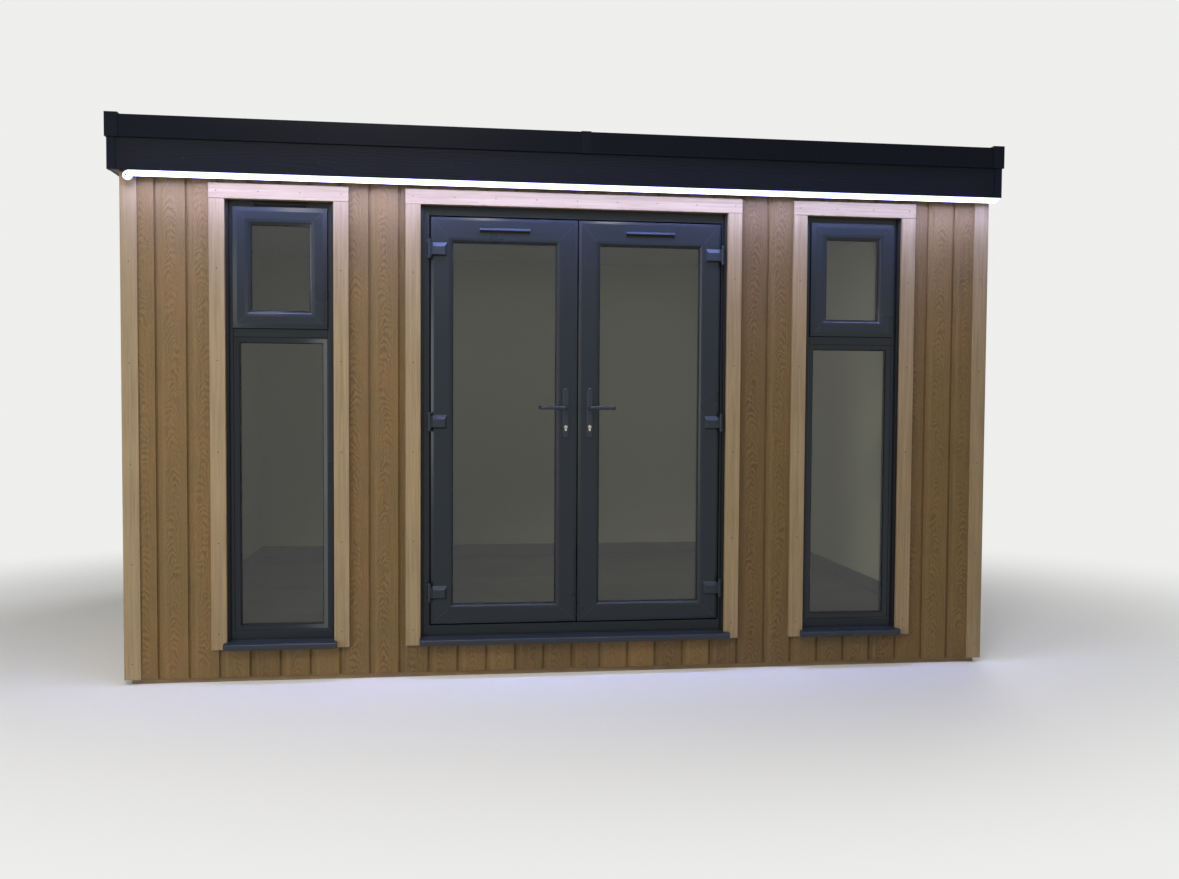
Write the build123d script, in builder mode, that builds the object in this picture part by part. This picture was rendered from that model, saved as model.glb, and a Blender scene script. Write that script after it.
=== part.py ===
from build123d import *
import os

# Garden office pod: a flat-roofed timber room with French doors between two tall windows.
# X runs along the front, Y from the front to the back, Z up from the ground. The origin is on the
# ground in the middle of the plan. All lengths are in millimetres.

os.makedirs("parts", exist_ok=True)

# Plan and walls
building_width = 4250
building_depth = 3000
corner_trim_thickness = 8
corner_trim_width = 76
cladding_thickness = 20
wall_panel_thickness = 112
lining_thickness = 12

# Base and floor
cladding_ground_gap = 25
bearer_height = 75
bearer_width = 100
floor_panel_thickness = 88
floor_board_thickness = 12
skirting_height = 85
skirting_thickness = 15

# Heights of the walls and of the roof edge
wall_top = 2390
roof_panel_thickness = 235
membrane_thickness = 3
edge_trim_rise = 12
edge_trim_face = 103
edge_trim_thickness = 8
edge_trim_top_leg = 60
edge_trim_end_gap = 2
front_overhang = 50
side_overhang = 36
fascia_thickness = 18
fascia_lap = 60
corner_cap_width = 58
corner_cap_thickness = 2
corner_cap_rise = 8
corner_cap_gap = 0.3
fascia_corner_width = 38
fascia_corner_thickness = 3
joint_cover_width = 48
joint_cover_position = 36
cover_gap = 1

# Light strip under the front fascia
led_depth = 16
led_height = 25
led_set_back = 2
led_left_inset = 28
led_corner_radius = 7
led_fitting_radius = 22
led_fitting_hole_radius = 4
led_fitting_drop = 2

# Openings in the front
door_opening_width = 1505
window_opening_width = 496
window_centre = 1408
opening_head = 2280
frame_cover = 12.5
surround_width = 71
surround_thickness = 20
surround_drop = 2

# Sills under the door and the windows
sill_height = 36
sill_nose_height = 26
sill_fall = 10
sill_projection = 53
sill_horn = 13

# Door set
door_shift = 9
frame_depth = 70
jamb_width = 47
head_height = 60
threshold_height = 52
leaf_side_gap = 5
leaf_gap = 6
leaf_thickness = 60
leaf_proud = 18
stile_width = 103
top_rail_height = 117
bottom_rail_height = 91
leaf_edge_bevel_width = 15
leaf_edge_bevel_depth = 8.5
leaf_bead_bevel_width = 18
leaf_bead_bevel_depth = 11.5
door_stop_reach = 12
door_stop_depth = 20

# Glass and its grooves
glass_thickness = 28
glass_bite = 10
glass_gap = 0.3

# Vent hoods on the door leaves and on the head of the left window frame
vent_width = 244
vent_height = 24
vent_depth = 12
vent_below_leaf_top = 60
vent_slope_height = 13
vent_slope_depth = 10
window_vent_below_frame_top = 28

# Flag hinges
hinge_pitch = 829
hinge_leaf_height = 58
hinge_knuckle_height = 15
hinge_knuckle_radius = 8
hinge_pin_radius = 4
hinge_pin_gap = 0.05
hinge_knuckle_gap = 0.5
hinge_edge_offset = 7
hinge_face_offset = 10
hinge_arm_thickness = 11
hinge_arm_height = 54
hinge_cover_near = 14
hinge_cover_far = 84
hinge_cover_height = 66
hinge_cover_thickness = 14
hinge_cover_top_slope = 20
hinge_cover_lower_slope = 7
hinge_cover_end_slope = 10
hinge_cover_near_slope = 4
hinge_bracket_reach = 12

# Handles and lock cylinders
handle_height = 1313
handle_inset = 56
plate_width = 30
plate_length = 243
plate_top_rise = 95
plate_thickness = 9
lock_drop = 94
lever_length = 136
lever_height = 18
lever_thickness = 12
lever_standoff = 46
lever_hub_radius = 9.5
lever_return = 16
spindle_side = 8
spindle_hole_radius = 6.5
lever_gap = 0.3
lock_radius = 8.5
lock_tail_width = 10
lock_tail_drop = 20
lock_proud = 4
lock_gap = 0.3

# Windows
window_frame_width = 42
window_bead_width = 24.5
window_bead_set_back = 6
window_bead_bevel_width = 20
window_bead_bevel_depth = 9.5
window_transom_height = 40
window_transom_base = 1640
sash_profile = 81
sash_thickness = 60
sash_proud = 18
sash_gap = 0.3
sash_edge_bevel_width = 22
sash_edge_bevel_depth = 9
sash_bead_bevel_width = 24
sash_bead_bevel_depth = 12

# Places worked out from the sizes above
half_width = building_width / 2
half_depth = building_depth / 2
cladding_half_width = half_width - corner_trim_thickness
cladding_half_depth = half_depth - corner_trim_thickness
wall_half_width = cladding_half_width - cladding_thickness
wall_half_depth = cladding_half_depth - cladding_thickness
room_half_width = wall_half_width - wall_panel_thickness
room_half_depth = wall_half_depth - wall_panel_thickness
floor_panel_top = bearer_height + floor_panel_thickness
floor_level = floor_panel_top + floor_board_thickness
frame_bottom = floor_panel_top + sill_height
frame_top = opening_head + frame_cover
frame_front = -wall_half_depth
frame_back = frame_front + frame_depth
fascia_half_width = half_width + side_overhang
fascia_half_depth = half_depth + front_overhang
roof_half_width = fascia_half_width - fascia_thickness
roof_half_depth = fascia_half_depth - fascia_thickness
roof_panel_top = wall_top + roof_panel_thickness
membrane_top = roof_panel_top + membrane_thickness
edge_trim_top = membrane_top + edge_trim_rise
edge_trim_bottom = edge_trim_top - edge_trim_face
trim_half_width = fascia_half_width + edge_trim_thickness
trim_half_depth = fascia_half_depth + edge_trim_thickness

frame_half_width = door_opening_width / 2 + frame_cover
leaf_half_width = frame_half_width - jamb_width - leaf_side_gap
leaf_bottom = frame_bottom + threshold_height + leaf_gap
leaf_top = frame_top - head_height - leaf_gap
leaf_front = frame_front - leaf_proud
leaf_back = leaf_front + leaf_thickness
glass_front = leaf_front + (leaf_thickness - glass_thickness) / 2
window_frame_half = window_opening_width / 2 + frame_cover
window_light_half = window_frame_half - window_frame_width
window_glass_front = frame_front + (frame_depth - glass_thickness) / 2
sash_front = frame_front - sash_proud
sash_back = sash_front + sash_thickness
sash_glass_front = sash_front + (sash_thickness - glass_thickness) / 2
sides = {"left": -1, "right": 1}


# A box between two corners, for the sub-part that is being built
def block(x_span, y_span, z_span, mode=Mode.ADD):
    x_low, x_high = sorted(x_span)
    y_low, y_high = sorted(y_span)
    z_low, z_high = sorted(z_span)
    with Locations(((x_low + x_high) / 2, (y_low + y_high) / 2, (z_low + z_high) / 2)):
        Box(x_high - x_low, y_high - y_low, z_high - z_low, mode=mode)


# A vent hood on a frame's face, whose top slopes down to its front edge
def add_vent_hood(middle_x, face_y, middle_z):
    block(
        (middle_x - vent_width / 2, middle_x + vent_width / 2),
        (face_y - vent_depth, face_y),
        (middle_z - vent_height / 2, middle_z + vent_height / 2),
    )
    hood_front = faces().sort_by(Axis.Y)[0]
    top_edge = hood_front.edges().sort_by(Axis.Z)[-1]
    chamfer(top_edge, vent_slope_height, vent_slope_depth, reference=hood_front)


# Names a finished sub-part and writes it to its own file
def write_part(piece, name):
    piece.part.label = name
    export_step(piece.part, f"parts/{name}.step")


# Base: three bearers on the ground and a floor panel across them
bearer_places = {
    "front_bearer": -wall_half_depth + bearer_width / 2,
    "middle_bearer": 0,
    "back_bearer": wall_half_depth - bearer_width / 2,
}
for bearer_name, bearer_y in bearer_places.items():
    with BuildPart() as bearer:
        block(
            (-wall_half_width, wall_half_width),
            (bearer_y - bearer_width / 2, bearer_y + bearer_width / 2),
            (0, bearer_height),
        )
    write_part(bearer, bearer_name)

with BuildPart() as floor_panel:
    block(
        (-wall_half_width, wall_half_width),
        (-wall_half_depth, wall_half_depth),
        (bearer_height, floor_panel_top),
    )
write_part(floor_panel, "floor_panel")

with BuildPart() as floor_boards:
    block(
        (-room_half_width, room_half_width),
        (-room_half_depth, room_half_depth),
        (floor_panel_top, floor_level),
    )
write_part(floor_boards, "floor_boards")

with BuildPart() as skirting:
    block(
        (-room_half_width, room_half_width),
        (-room_half_depth, room_half_depth),
        (floor_level, floor_level + skirting_height),
    )
    block(
        (-room_half_width + skirting_thickness, room_half_width - skirting_thickness),
        (-room_half_depth, room_half_depth - skirting_thickness),
        (floor_level, floor_level + skirting_height),
        mode=Mode.SUBTRACT,
    )
write_part(skirting, "skirting")

# Front wall: four piers between the openings and one head beam over them
for side_name, side in sides.items():
    with BuildPart() as corner_pier:
        block(
            (side * (window_centre + window_frame_half), side * wall_half_width),
            (-wall_half_depth, -room_half_depth),
            (floor_panel_top, frame_top),
        )
    write_part(corner_pier, f"front_wall_{side_name}_corner")

    with BuildPart() as inner_pier:
        block(
            (door_shift + side * frame_half_width, side * (window_centre - window_frame_half)),
            (-wall_half_depth, -room_half_depth),
            (floor_panel_top, frame_top),
        )
    write_part(inner_pier, f"front_wall_{side_name}_pier")

    with BuildPart() as side_wall:
        block(
            (side * room_half_width, side * wall_half_width),
            (-room_half_depth, room_half_depth),
            (floor_panel_top, wall_top),
        )
    write_part(side_wall, f"{side_name}_wall")

    with BuildPart() as side_cladding:
        block(
            (side * wall_half_width, side * cladding_half_width),
            (-wall_half_depth, wall_half_depth),
            (cladding_ground_gap, wall_top),
        )
    write_part(side_cladding, f"{side_name}_cladding")

with BuildPart() as front_wall_head:
    block(
        (-wall_half_width, wall_half_width),
        (-wall_half_depth, -room_half_depth),
        (frame_top, wall_top),
    )
write_part(front_wall_head, "front_wall_head")

with BuildPart() as back_wall:
    block(
        (-wall_half_width, wall_half_width),
        (room_half_depth, wall_half_depth),
        (floor_panel_top, wall_top),
    )
write_part(back_wall, "back_wall")

# The front cladding is one skin, cut through at the door and at both windows
opening_widths = {
    0: door_opening_width,
    -window_centre: window_opening_width,
    window_centre: window_opening_width,
}
cladding_middle = (cladding_ground_gap + wall_top) / 2
opening_middle = (floor_panel_top + opening_head) / 2
with BuildPart() as front_cladding:
    with BuildSketch(Plane.XZ.offset(wall_half_depth)):
        with Locations((0, cladding_middle)):
            Rectangle(2 * cladding_half_width, wall_top - cladding_ground_gap)
        for opening_x, opening_width in opening_widths.items():
            with Locations((opening_x, opening_middle)):
                Rectangle(opening_width, opening_head - floor_panel_top, mode=Mode.SUBTRACT)
    extrude(amount=cladding_thickness)
write_part(front_cladding, "front_cladding")

with BuildPart() as back_cladding:
    block(
        (-cladding_half_width, cladding_half_width),
        (wall_half_depth, cladding_half_depth),
        (cladding_ground_gap, wall_top),
    )
write_part(back_cladding, "back_cladding")

with BuildPart() as corner_trims:
    for x_side in (-1, 1):
        for y_side in (-1, 1):
            block(
                (x_side * (half_width - corner_trim_width), x_side * half_width),
                (y_side * cladding_half_depth, y_side * half_depth),
                (cladding_ground_gap, wall_top),
            )
            block(
                (x_side * cladding_half_width, x_side * half_width),
                (y_side * (half_depth - corner_trim_width), y_side * half_depth),
                (cladding_ground_gap, wall_top),
            )
write_part(corner_trims, "corner_trims")

# Surround boards: two uprights and a head board round each opening, on the cladding
surrounds = {
    "door_surround": (0, door_opening_width),
    "left_window_surround": (-window_centre, window_opening_width),
    "right_window_surround": (window_centre, window_opening_width),
}
surround_bottom = floor_panel_top - surround_drop
surround_top = opening_head + surround_width
surround_front = -cladding_half_depth - surround_thickness
for surround_name, (surround_x, surround_opening) in surrounds.items():
    with BuildPart() as surround:
        with BuildSketch(Plane.XZ.offset(cladding_half_depth)):
            with Locations((surround_x, (surround_bottom + surround_top) / 2)):
                Rectangle(surround_opening + 2 * surround_width, surround_top - surround_bottom)
            with Locations((surround_x, (surround_bottom + opening_head) / 2)):
                Rectangle(surround_opening, opening_head - surround_bottom, mode=Mode.SUBTRACT)
        extrude(amount=surround_thickness)
    write_part(surround, surround_name)

# Sills: a sloped nose in front of the frame and a flat part under it, back to the room.
# The part that stands in front of the surround boards is wider by a horn at each end.
sill_front = -cladding_half_depth - sill_projection
nose_top = floor_panel_top + sill_nose_height
sill_top = floor_panel_top + sill_height
surround_sill_top = sill_top - sill_fall * (frame_front - surround_front) / (frame_front - sill_front)
sills = {
    "door_sill": (door_shift, 0, door_opening_width, 2 * frame_half_width),
    "left_window_sill": (-window_centre, -window_centre, window_opening_width, 2 * window_frame_half),
    "right_window_sill": (window_centre, window_centre, window_opening_width, 2 * window_frame_half),
}
for sill_name, (sill_x, opening_x, sill_opening, sill_frame_width) in sills.items():
    with BuildPart() as sill:
        block(
            (sill_x - sill_frame_width / 2, sill_x + sill_frame_width / 2),
            (frame_front, -room_half_depth),
            (floor_panel_top, sill_top),
        )
        with BuildSketch(Plane.YZ.offset(opening_x - sill_opening / 2)):
            with BuildLine():
                Polyline(
                    (surround_front, floor_panel_top),
                    (frame_front, floor_panel_top),
                    (frame_front, sill_top),
                    (surround_front, surround_sill_top),
                    close=True,
                )
            make_face()
        extrude(amount=sill_opening)
        with BuildSketch(Plane.YZ.offset(sill_x - sill_opening / 2 - sill_horn)):
            with BuildLine():
                Polyline(
                    (sill_front, floor_panel_top),
                    (surround_front, floor_panel_top),
                    (surround_front, surround_sill_top),
                    (sill_front, nose_top),
                    close=True,
                )
            make_face()
        extrude(amount=sill_opening + 2 * sill_horn)
    write_part(sill, sill_name)

# Roof: an insulated panel over the walls, lined inside, under a membrane
with BuildPart() as roof_panel:
    block(
        (-roof_half_width, roof_half_width),
        (-roof_half_depth, roof_half_depth),
        (wall_top, roof_panel_top),
    )
write_part(roof_panel, "roof_panel")

with BuildPart() as ceiling_lining:
    block(
        (-room_half_width, room_half_width),
        (-room_half_depth, room_half_depth),
        (wall_top - lining_thickness, wall_top),
    )
write_part(ceiling_lining, "ceiling_lining")

with BuildPart() as roof_membrane:
    block(
        (-roof_half_width, roof_half_width),
        (-roof_half_depth, roof_half_depth),
        (roof_panel_top, membrane_top),
    )
write_part(roof_membrane, "roof_membrane")

# Fascia boards: the front and back boards run through, the side boards fit between them
fascia_top = edge_trim_bottom + fascia_lap
with BuildPart() as fascia_boards:
    for y_side in (-1, 1):
        block(
            (-fascia_half_width, fascia_half_width),
            (y_side * roof_half_depth, y_side * fascia_half_depth),
            (wall_top, fascia_top),
        )
    for x_side in (-1, 1):
        block(
            (x_side * roof_half_width, x_side * fascia_half_width),
            (-roof_half_depth + cover_gap, roof_half_depth - cover_gap),
            (wall_top, fascia_top),
        )
write_part(fascia_boards, "fascia_boards")

# Edge trims: a face board over the top of the fascia and a leg across the edge of the roof
trim_end_x = fascia_half_width - edge_trim_end_gap
trim_end_y = fascia_half_depth - edge_trim_end_gap - edge_trim_top_leg
with BuildPart() as roof_edge_trims:
    for y_side in (-1, 1):
        block(
            (-trim_end_x, trim_end_x),
            (y_side * fascia_half_depth, y_side * trim_half_depth),
            (edge_trim_bottom, edge_trim_top),
        )
        block(
            (-trim_end_x, trim_end_x),
            (y_side * (trim_half_depth - edge_trim_top_leg), y_side * fascia_half_depth),
            (membrane_top, edge_trim_top),
        )
    for x_side in (-1, 1):
        block(
            (x_side * fascia_half_width, x_side * trim_half_width),
            (-trim_end_y, trim_end_y),
            (edge_trim_bottom, edge_trim_top),
        )
        block(
            (x_side * (trim_half_width - edge_trim_top_leg), x_side * fascia_half_width),
            (-trim_end_y, trim_end_y),
            (membrane_top, edge_trim_top),
        )
write_part(roof_edge_trims, "roof_edge_trims")

# Covers: a cap round each roof corner, a cover over the joint in the front edge trim, and an
# angle on each corner of the fascia below the caps
cap_inner_width = trim_half_width + corner_cap_gap
cap_inner_depth = trim_half_depth + corner_cap_gap
cap_inner_top = edge_trim_top + corner_cap_gap
cap_half_width = cap_inner_width + corner_cap_thickness
cap_half_depth = cap_inner_depth + corner_cap_thickness
cap_top = edge_trim_top + corner_cap_rise
with BuildPart() as roof_trim_covers:
    for x_side in (-1, 1):
        for y_side in (-1, 1):
            block(
                (x_side * (cap_half_width - corner_cap_width), x_side * cap_half_width),
                (y_side * (cap_half_depth - corner_cap_width), y_side * cap_half_depth),
                (edge_trim_bottom, cap_top),
            )
            block(
                (x_side * (cap_half_width - corner_cap_width), x_side * cap_inner_width),
                (y_side * (cap_half_depth - corner_cap_width), y_side * cap_inner_depth),
                (edge_trim_bottom, cap_inner_top),
                mode=Mode.SUBTRACT,
            )
            block(
                (x_side * (fascia_half_width + fascia_corner_thickness - fascia_corner_width),
                 x_side * (fascia_half_width + fascia_corner_thickness)),
                (y_side * fascia_half_depth, y_side * (fascia_half_depth + fascia_corner_thickness)),
                (wall_top, edge_trim_bottom - cover_gap),
            )
            block(
                (x_side * fascia_half_width, x_side * (fascia_half_width + fascia_corner_thickness)),
                (y_side * (fascia_half_depth + fascia_corner_thickness - fascia_corner_width),
                 y_side * (fascia_half_depth + fascia_corner_thickness)),
                (wall_top, edge_trim_bottom - cover_gap),
            )
    block(
        (joint_cover_position - joint_cover_width / 2, joint_cover_position + joint_cover_width / 2),
        (-cap_half_depth, -(trim_half_depth - edge_trim_top_leg)),
        (edge_trim_bottom, cap_inner_top + corner_cap_thickness),
    )
    block(
        (joint_cover_position - joint_cover_width / 2, joint_cover_position + joint_cover_width / 2),
        (-cap_inner_depth, -(trim_half_depth - edge_trim_top_leg)),
        (edge_trim_bottom, cap_inner_top),
        mode=Mode.SUBTRACT,
    )
write_part(roof_trim_covers, "roof_trim_covers")

# Light strip: a tube with rounded lower edges under the fascia, hung at its left end from a round
# fitting with a hole in it
led_front = -fascia_half_depth + led_set_back
led_middle_y = led_front + led_depth / 2
led_left = -(half_width - led_left_inset)
with BuildPart() as led_strip:
    block(
        (led_left + led_fitting_radius, fascia_half_width),
        (led_front, led_front + led_depth),
        (wall_top - led_height, wall_top),
    )
    fillet(led_strip.edges().filter_by(Axis.X).group_by(Axis.Z)[0], led_corner_radius)
    fitting_x = led_left + led_fitting_radius
    fitting_z = wall_top - led_fitting_drop - led_fitting_radius
    with Locations(Location((fitting_x, led_middle_y, fitting_z), (90, 0, 0))):
        Cylinder(led_fitting_radius, led_depth)
        Cylinder(led_fitting_hole_radius, led_depth, mode=Mode.SUBTRACT)
write_part(led_strip, "led_strip")

# Door frame: two jambs between a threshold and a head, each with a stop behind the leaves
door_left = door_shift - frame_half_width
door_right = door_shift + frame_half_width
stop_front = frame_back - door_stop_depth
for side_name, side in sides.items():
    jamb_inner_x = door_shift + side * (frame_half_width - jamb_width)
    with BuildPart() as jamb:
        block(
            (jamb_inner_x, door_shift + side * frame_half_width),
            (frame_front, frame_back),
            (frame_bottom + threshold_height, frame_top - head_height),
        )
        block(
            (jamb_inner_x - side * door_stop_reach, jamb_inner_x),
            (stop_front, frame_back),
            (frame_bottom + threshold_height + door_stop_reach, frame_top - head_height - door_stop_reach),
        )
    write_part(jamb, f"door_frame_{side_name}")

stop_left = door_left + jamb_width
stop_right = door_right - jamb_width
with BuildPart() as door_frame_head:
    block((door_left, door_right), (frame_front, frame_back), (frame_top - head_height, frame_top))
    block(
        (stop_left, stop_right),
        (stop_front, frame_back),
        (frame_top - head_height - door_stop_reach, frame_top - head_height),
    )
write_part(door_frame_head, "door_frame_head")

with BuildPart() as door_threshold:
    block(
        (door_left, door_right),
        (frame_front, frame_back),
        (frame_bottom, frame_bottom + threshold_height),
    )
    block(
        (stop_left, stop_right),
        (stop_front, frame_back),
        (frame_bottom + threshold_height, frame_bottom + threshold_height + door_stop_reach),
    )
write_part(door_threshold, "door_threshold")

# Door leaves with their glass, vents, handles and hinges
leaf_middle = (leaf_bottom + leaf_top) / 2
hinge_heights = [leaf_middle - hinge_pitch, leaf_middle, leaf_middle + hinge_pitch]
hinge_y = leaf_front - hinge_face_offset
lock_height = handle_height - lock_drop
lock_hole_radius = lock_radius + lock_gap
lock_hole_width = lock_tail_width + 2 * lock_gap
lock_hole_drop = lock_tail_drop + 2 * lock_gap
plate_middle = handle_height + plate_top_rise - plate_length / 2
for side_name, side in sides.items():
    meeting_x = door_shift + side * leaf_gap / 2
    hanging_x = door_shift + side * leaf_half_width
    leaf_x = (meeting_x + hanging_x) / 2
    leaf_width = abs(hanging_x - meeting_x)
    handle_x = meeting_x + side * handle_inset
    hinge_x = hanging_x + side * hinge_edge_offset
    sight_span = (meeting_x + side * stile_width, hanging_x - side * stile_width)
    sight_width = leaf_width - 2 * stile_width
    sight_bottom = leaf_bottom + bottom_rail_height
    sight_top = leaf_top - top_rail_height

    with BuildPart() as leaf_frame:
        with BuildSketch(Plane.XZ.offset(-leaf_back)):
            with Locations((leaf_x, leaf_middle)):
                Rectangle(leaf_width, leaf_top - leaf_bottom)
            with Locations((leaf_x, (sight_bottom + sight_top) / 2)):
                Rectangle(sight_width, sight_top - sight_bottom, mode=Mode.SUBTRACT)
        extrude(amount=leaf_thickness)
        leaf_face = leaf_frame.faces().sort_by(Axis.Y)[0]
        chamfer(
            leaf_face.outer_wire().edges(),
            leaf_edge_bevel_width,
            leaf_edge_bevel_depth,
            reference=leaf_face,
        )
        leaf_face = leaf_frame.faces().sort_by(Axis.Y)[0]
        chamfer(
            leaf_face.inner_wires()[0].edges(),
            leaf_bead_bevel_width,
            leaf_bead_bevel_depth,
            reference=leaf_face,
        )
        block(
            (leaf_x - sight_width / 2 - glass_bite, leaf_x + sight_width / 2 + glass_bite),
            (glass_front, glass_front + glass_thickness),
            (sight_bottom - glass_bite, sight_top + glass_bite),
            mode=Mode.SUBTRACT,
        )
        with Locations(Location((handle_x, (leaf_front + leaf_back) / 2, handle_height), (90, 0, 0))):
            Cylinder(spindle_hole_radius, 2 * leaf_thickness, mode=Mode.SUBTRACT)
        with BuildSketch(Plane.XZ.offset(-leaf_back)):
            with Locations((handle_x, lock_height)):
                Circle(lock_hole_radius)
            with Locations((handle_x, lock_height - lock_tail_drop / 2)):
                Rectangle(lock_hole_width, lock_hole_drop)
        extrude(amount=leaf_thickness, mode=Mode.SUBTRACT)
    write_part(leaf_frame, f"{side_name}_leaf_frame")

    with BuildPart() as leaf_glass:
        pane_reach = glass_bite - glass_gap
        block(
            (leaf_x - sight_width / 2 - pane_reach, leaf_x + sight_width / 2 + pane_reach),
            (glass_front + glass_gap, glass_front + glass_thickness - glass_gap),
            (sight_bottom - pane_reach, sight_top + pane_reach),
        )
    write_part(leaf_glass, f"{side_name}_leaf_glass")

    with BuildPart() as leaf_vent:
        add_vent_hood(leaf_x, leaf_front, leaf_top - vent_below_leaf_top)
    write_part(leaf_vent, f"{side_name}_leaf_vent")

    with BuildPart() as leaf_hinges:
        cover_near = hinge_x - side * hinge_cover_near
        cover_far = hinge_x - side * hinge_cover_far
        front_near = cover_near - side * hinge_cover_near_slope
        front_far = cover_far + side * hinge_cover_end_slope
        front_height = hinge_cover_height - hinge_cover_top_slope - hinge_cover_lower_slope
        for hinge_z in hinge_heights:
            with Locations((hinge_x, hinge_y, hinge_z)):
                Cylinder(hinge_knuckle_radius, hinge_leaf_height)
            block(
                (hinge_x, front_near),
                (leaf_front - hinge_arm_thickness, leaf_front),
                (hinge_z - hinge_arm_height / 2, hinge_z + hinge_arm_height / 2),
            )
            with BuildSketch(Plane.XZ.offset(-leaf_front)):
                with Locations(((cover_near + cover_far) / 2, hinge_z)):
                    Rectangle(abs(cover_far - cover_near), hinge_cover_height)
            front_z = hinge_z + (hinge_cover_lower_slope - hinge_cover_top_slope) / 2
            with BuildSketch(Plane.XZ.offset(hinge_cover_thickness - leaf_front)):
                with Locations(((front_near + front_far) / 2, front_z)):
                    Rectangle(abs(front_far - front_near), front_height)
            loft()
            with Locations((hinge_x, hinge_y, hinge_z)):
                Cylinder(hinge_pin_radius + hinge_pin_gap, hinge_leaf_height, mode=Mode.SUBTRACT)
    write_part(leaf_hinges, f"{side_name}_leaf_hinges")

    with BuildPart() as handle_plates:
        for plate_back in (leaf_front, leaf_back + plate_thickness):
            with BuildSketch(Plane.XZ.offset(-plate_back)):
                with Locations((handle_x, plate_middle)):
                    SlotOverall(plate_length, plate_width, rotation=90)
                with Locations((handle_x, handle_height)):
                    Circle(spindle_hole_radius, mode=Mode.SUBTRACT)
                with Locations((handle_x, lock_height)):
                    Circle(lock_hole_radius, mode=Mode.SUBTRACT)
                with Locations((handle_x, lock_height - lock_tail_drop / 2)):
                    Rectangle(lock_hole_width, lock_hole_drop, mode=Mode.SUBTRACT)
            extrude(amount=plate_thickness)
    write_part(handle_plates, f"{side_name}_handle_plates")

    with BuildPart() as lock_cylinder:
        with BuildSketch(Plane.XZ.offset(-(leaf_back + plate_thickness + lock_proud))):
            with Locations((handle_x, lock_height)):
                Circle(lock_radius)
            with Locations((handle_x, lock_height - lock_tail_drop / 2)):
                Rectangle(lock_tail_width, lock_tail_drop)
        extrude(amount=leaf_thickness + 2 * plate_thickness + 2 * lock_proud)
    write_part(lock_cylinder, f"{side_name}_lock_cylinder")

    with BuildPart() as lever:
        block(
            (handle_x - spindle_side / 2, handle_x + spindle_side / 2),
            (leaf_front - lever_standoff, leaf_back + lever_standoff),
            (handle_height - spindle_side / 2, handle_height + spindle_side / 2),
        )
        for out, face in ((-1, leaf_front - plate_thickness), (1, leaf_back + plate_thickness)):
            hub_base = face + out * lever_gap
            hub_end = face + out * (lever_standoff - plate_thickness + lever_thickness / 2)
            arm_back = hub_end - out * lever_thickness
            with Locations(Location((handle_x, (hub_base + hub_end) / 2, handle_height), (90, 0, 0))):
                Cylinder(lever_hub_radius, abs(hub_end - hub_base))
            arm_near = max(arm_back, hub_end)
            with BuildSketch(Plane.XZ.offset(-arm_near)):
                with Locations((handle_x + side * (lever_length - lever_height) / 2, handle_height)):
                    SlotOverall(lever_length, lever_height)
            extrude(amount=lever_thickness)
            tip_x = handle_x + side * (lever_length - lever_height)
            with Locations(Location((tip_x, arm_back - out * lever_return / 2, handle_height), (90, 0, 0))):
                Cylinder(lever_height / 2, lever_return)
    write_part(lever, f"{side_name}_lever")

with BuildPart() as frame_hinges:
    for side in sides.values():
        hinge_x = door_shift + side * (leaf_half_width + hinge_edge_offset)
        for hinge_z in hinge_heights:
            with Locations((hinge_x, hinge_y, hinge_z)):
                Cylinder(hinge_pin_radius, hinge_leaf_height + 2 * hinge_knuckle_height)
            for up in (-1, 1):
                knuckle_near = hinge_z + up * (hinge_leaf_height / 2 + hinge_knuckle_gap)
                knuckle_far = hinge_z + up * (hinge_leaf_height / 2 + hinge_knuckle_height)
                with Locations((hinge_x, hinge_y, (knuckle_near + knuckle_far) / 2)):
                    Cylinder(hinge_knuckle_radius, hinge_knuckle_height - hinge_knuckle_gap)
                block(
                    (hinge_x, hinge_x + side * hinge_bracket_reach),
                    (hinge_y, frame_front),
                    (knuckle_near, knuckle_far),
                )
write_part(frame_hinges, "frame_hinges")

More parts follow.
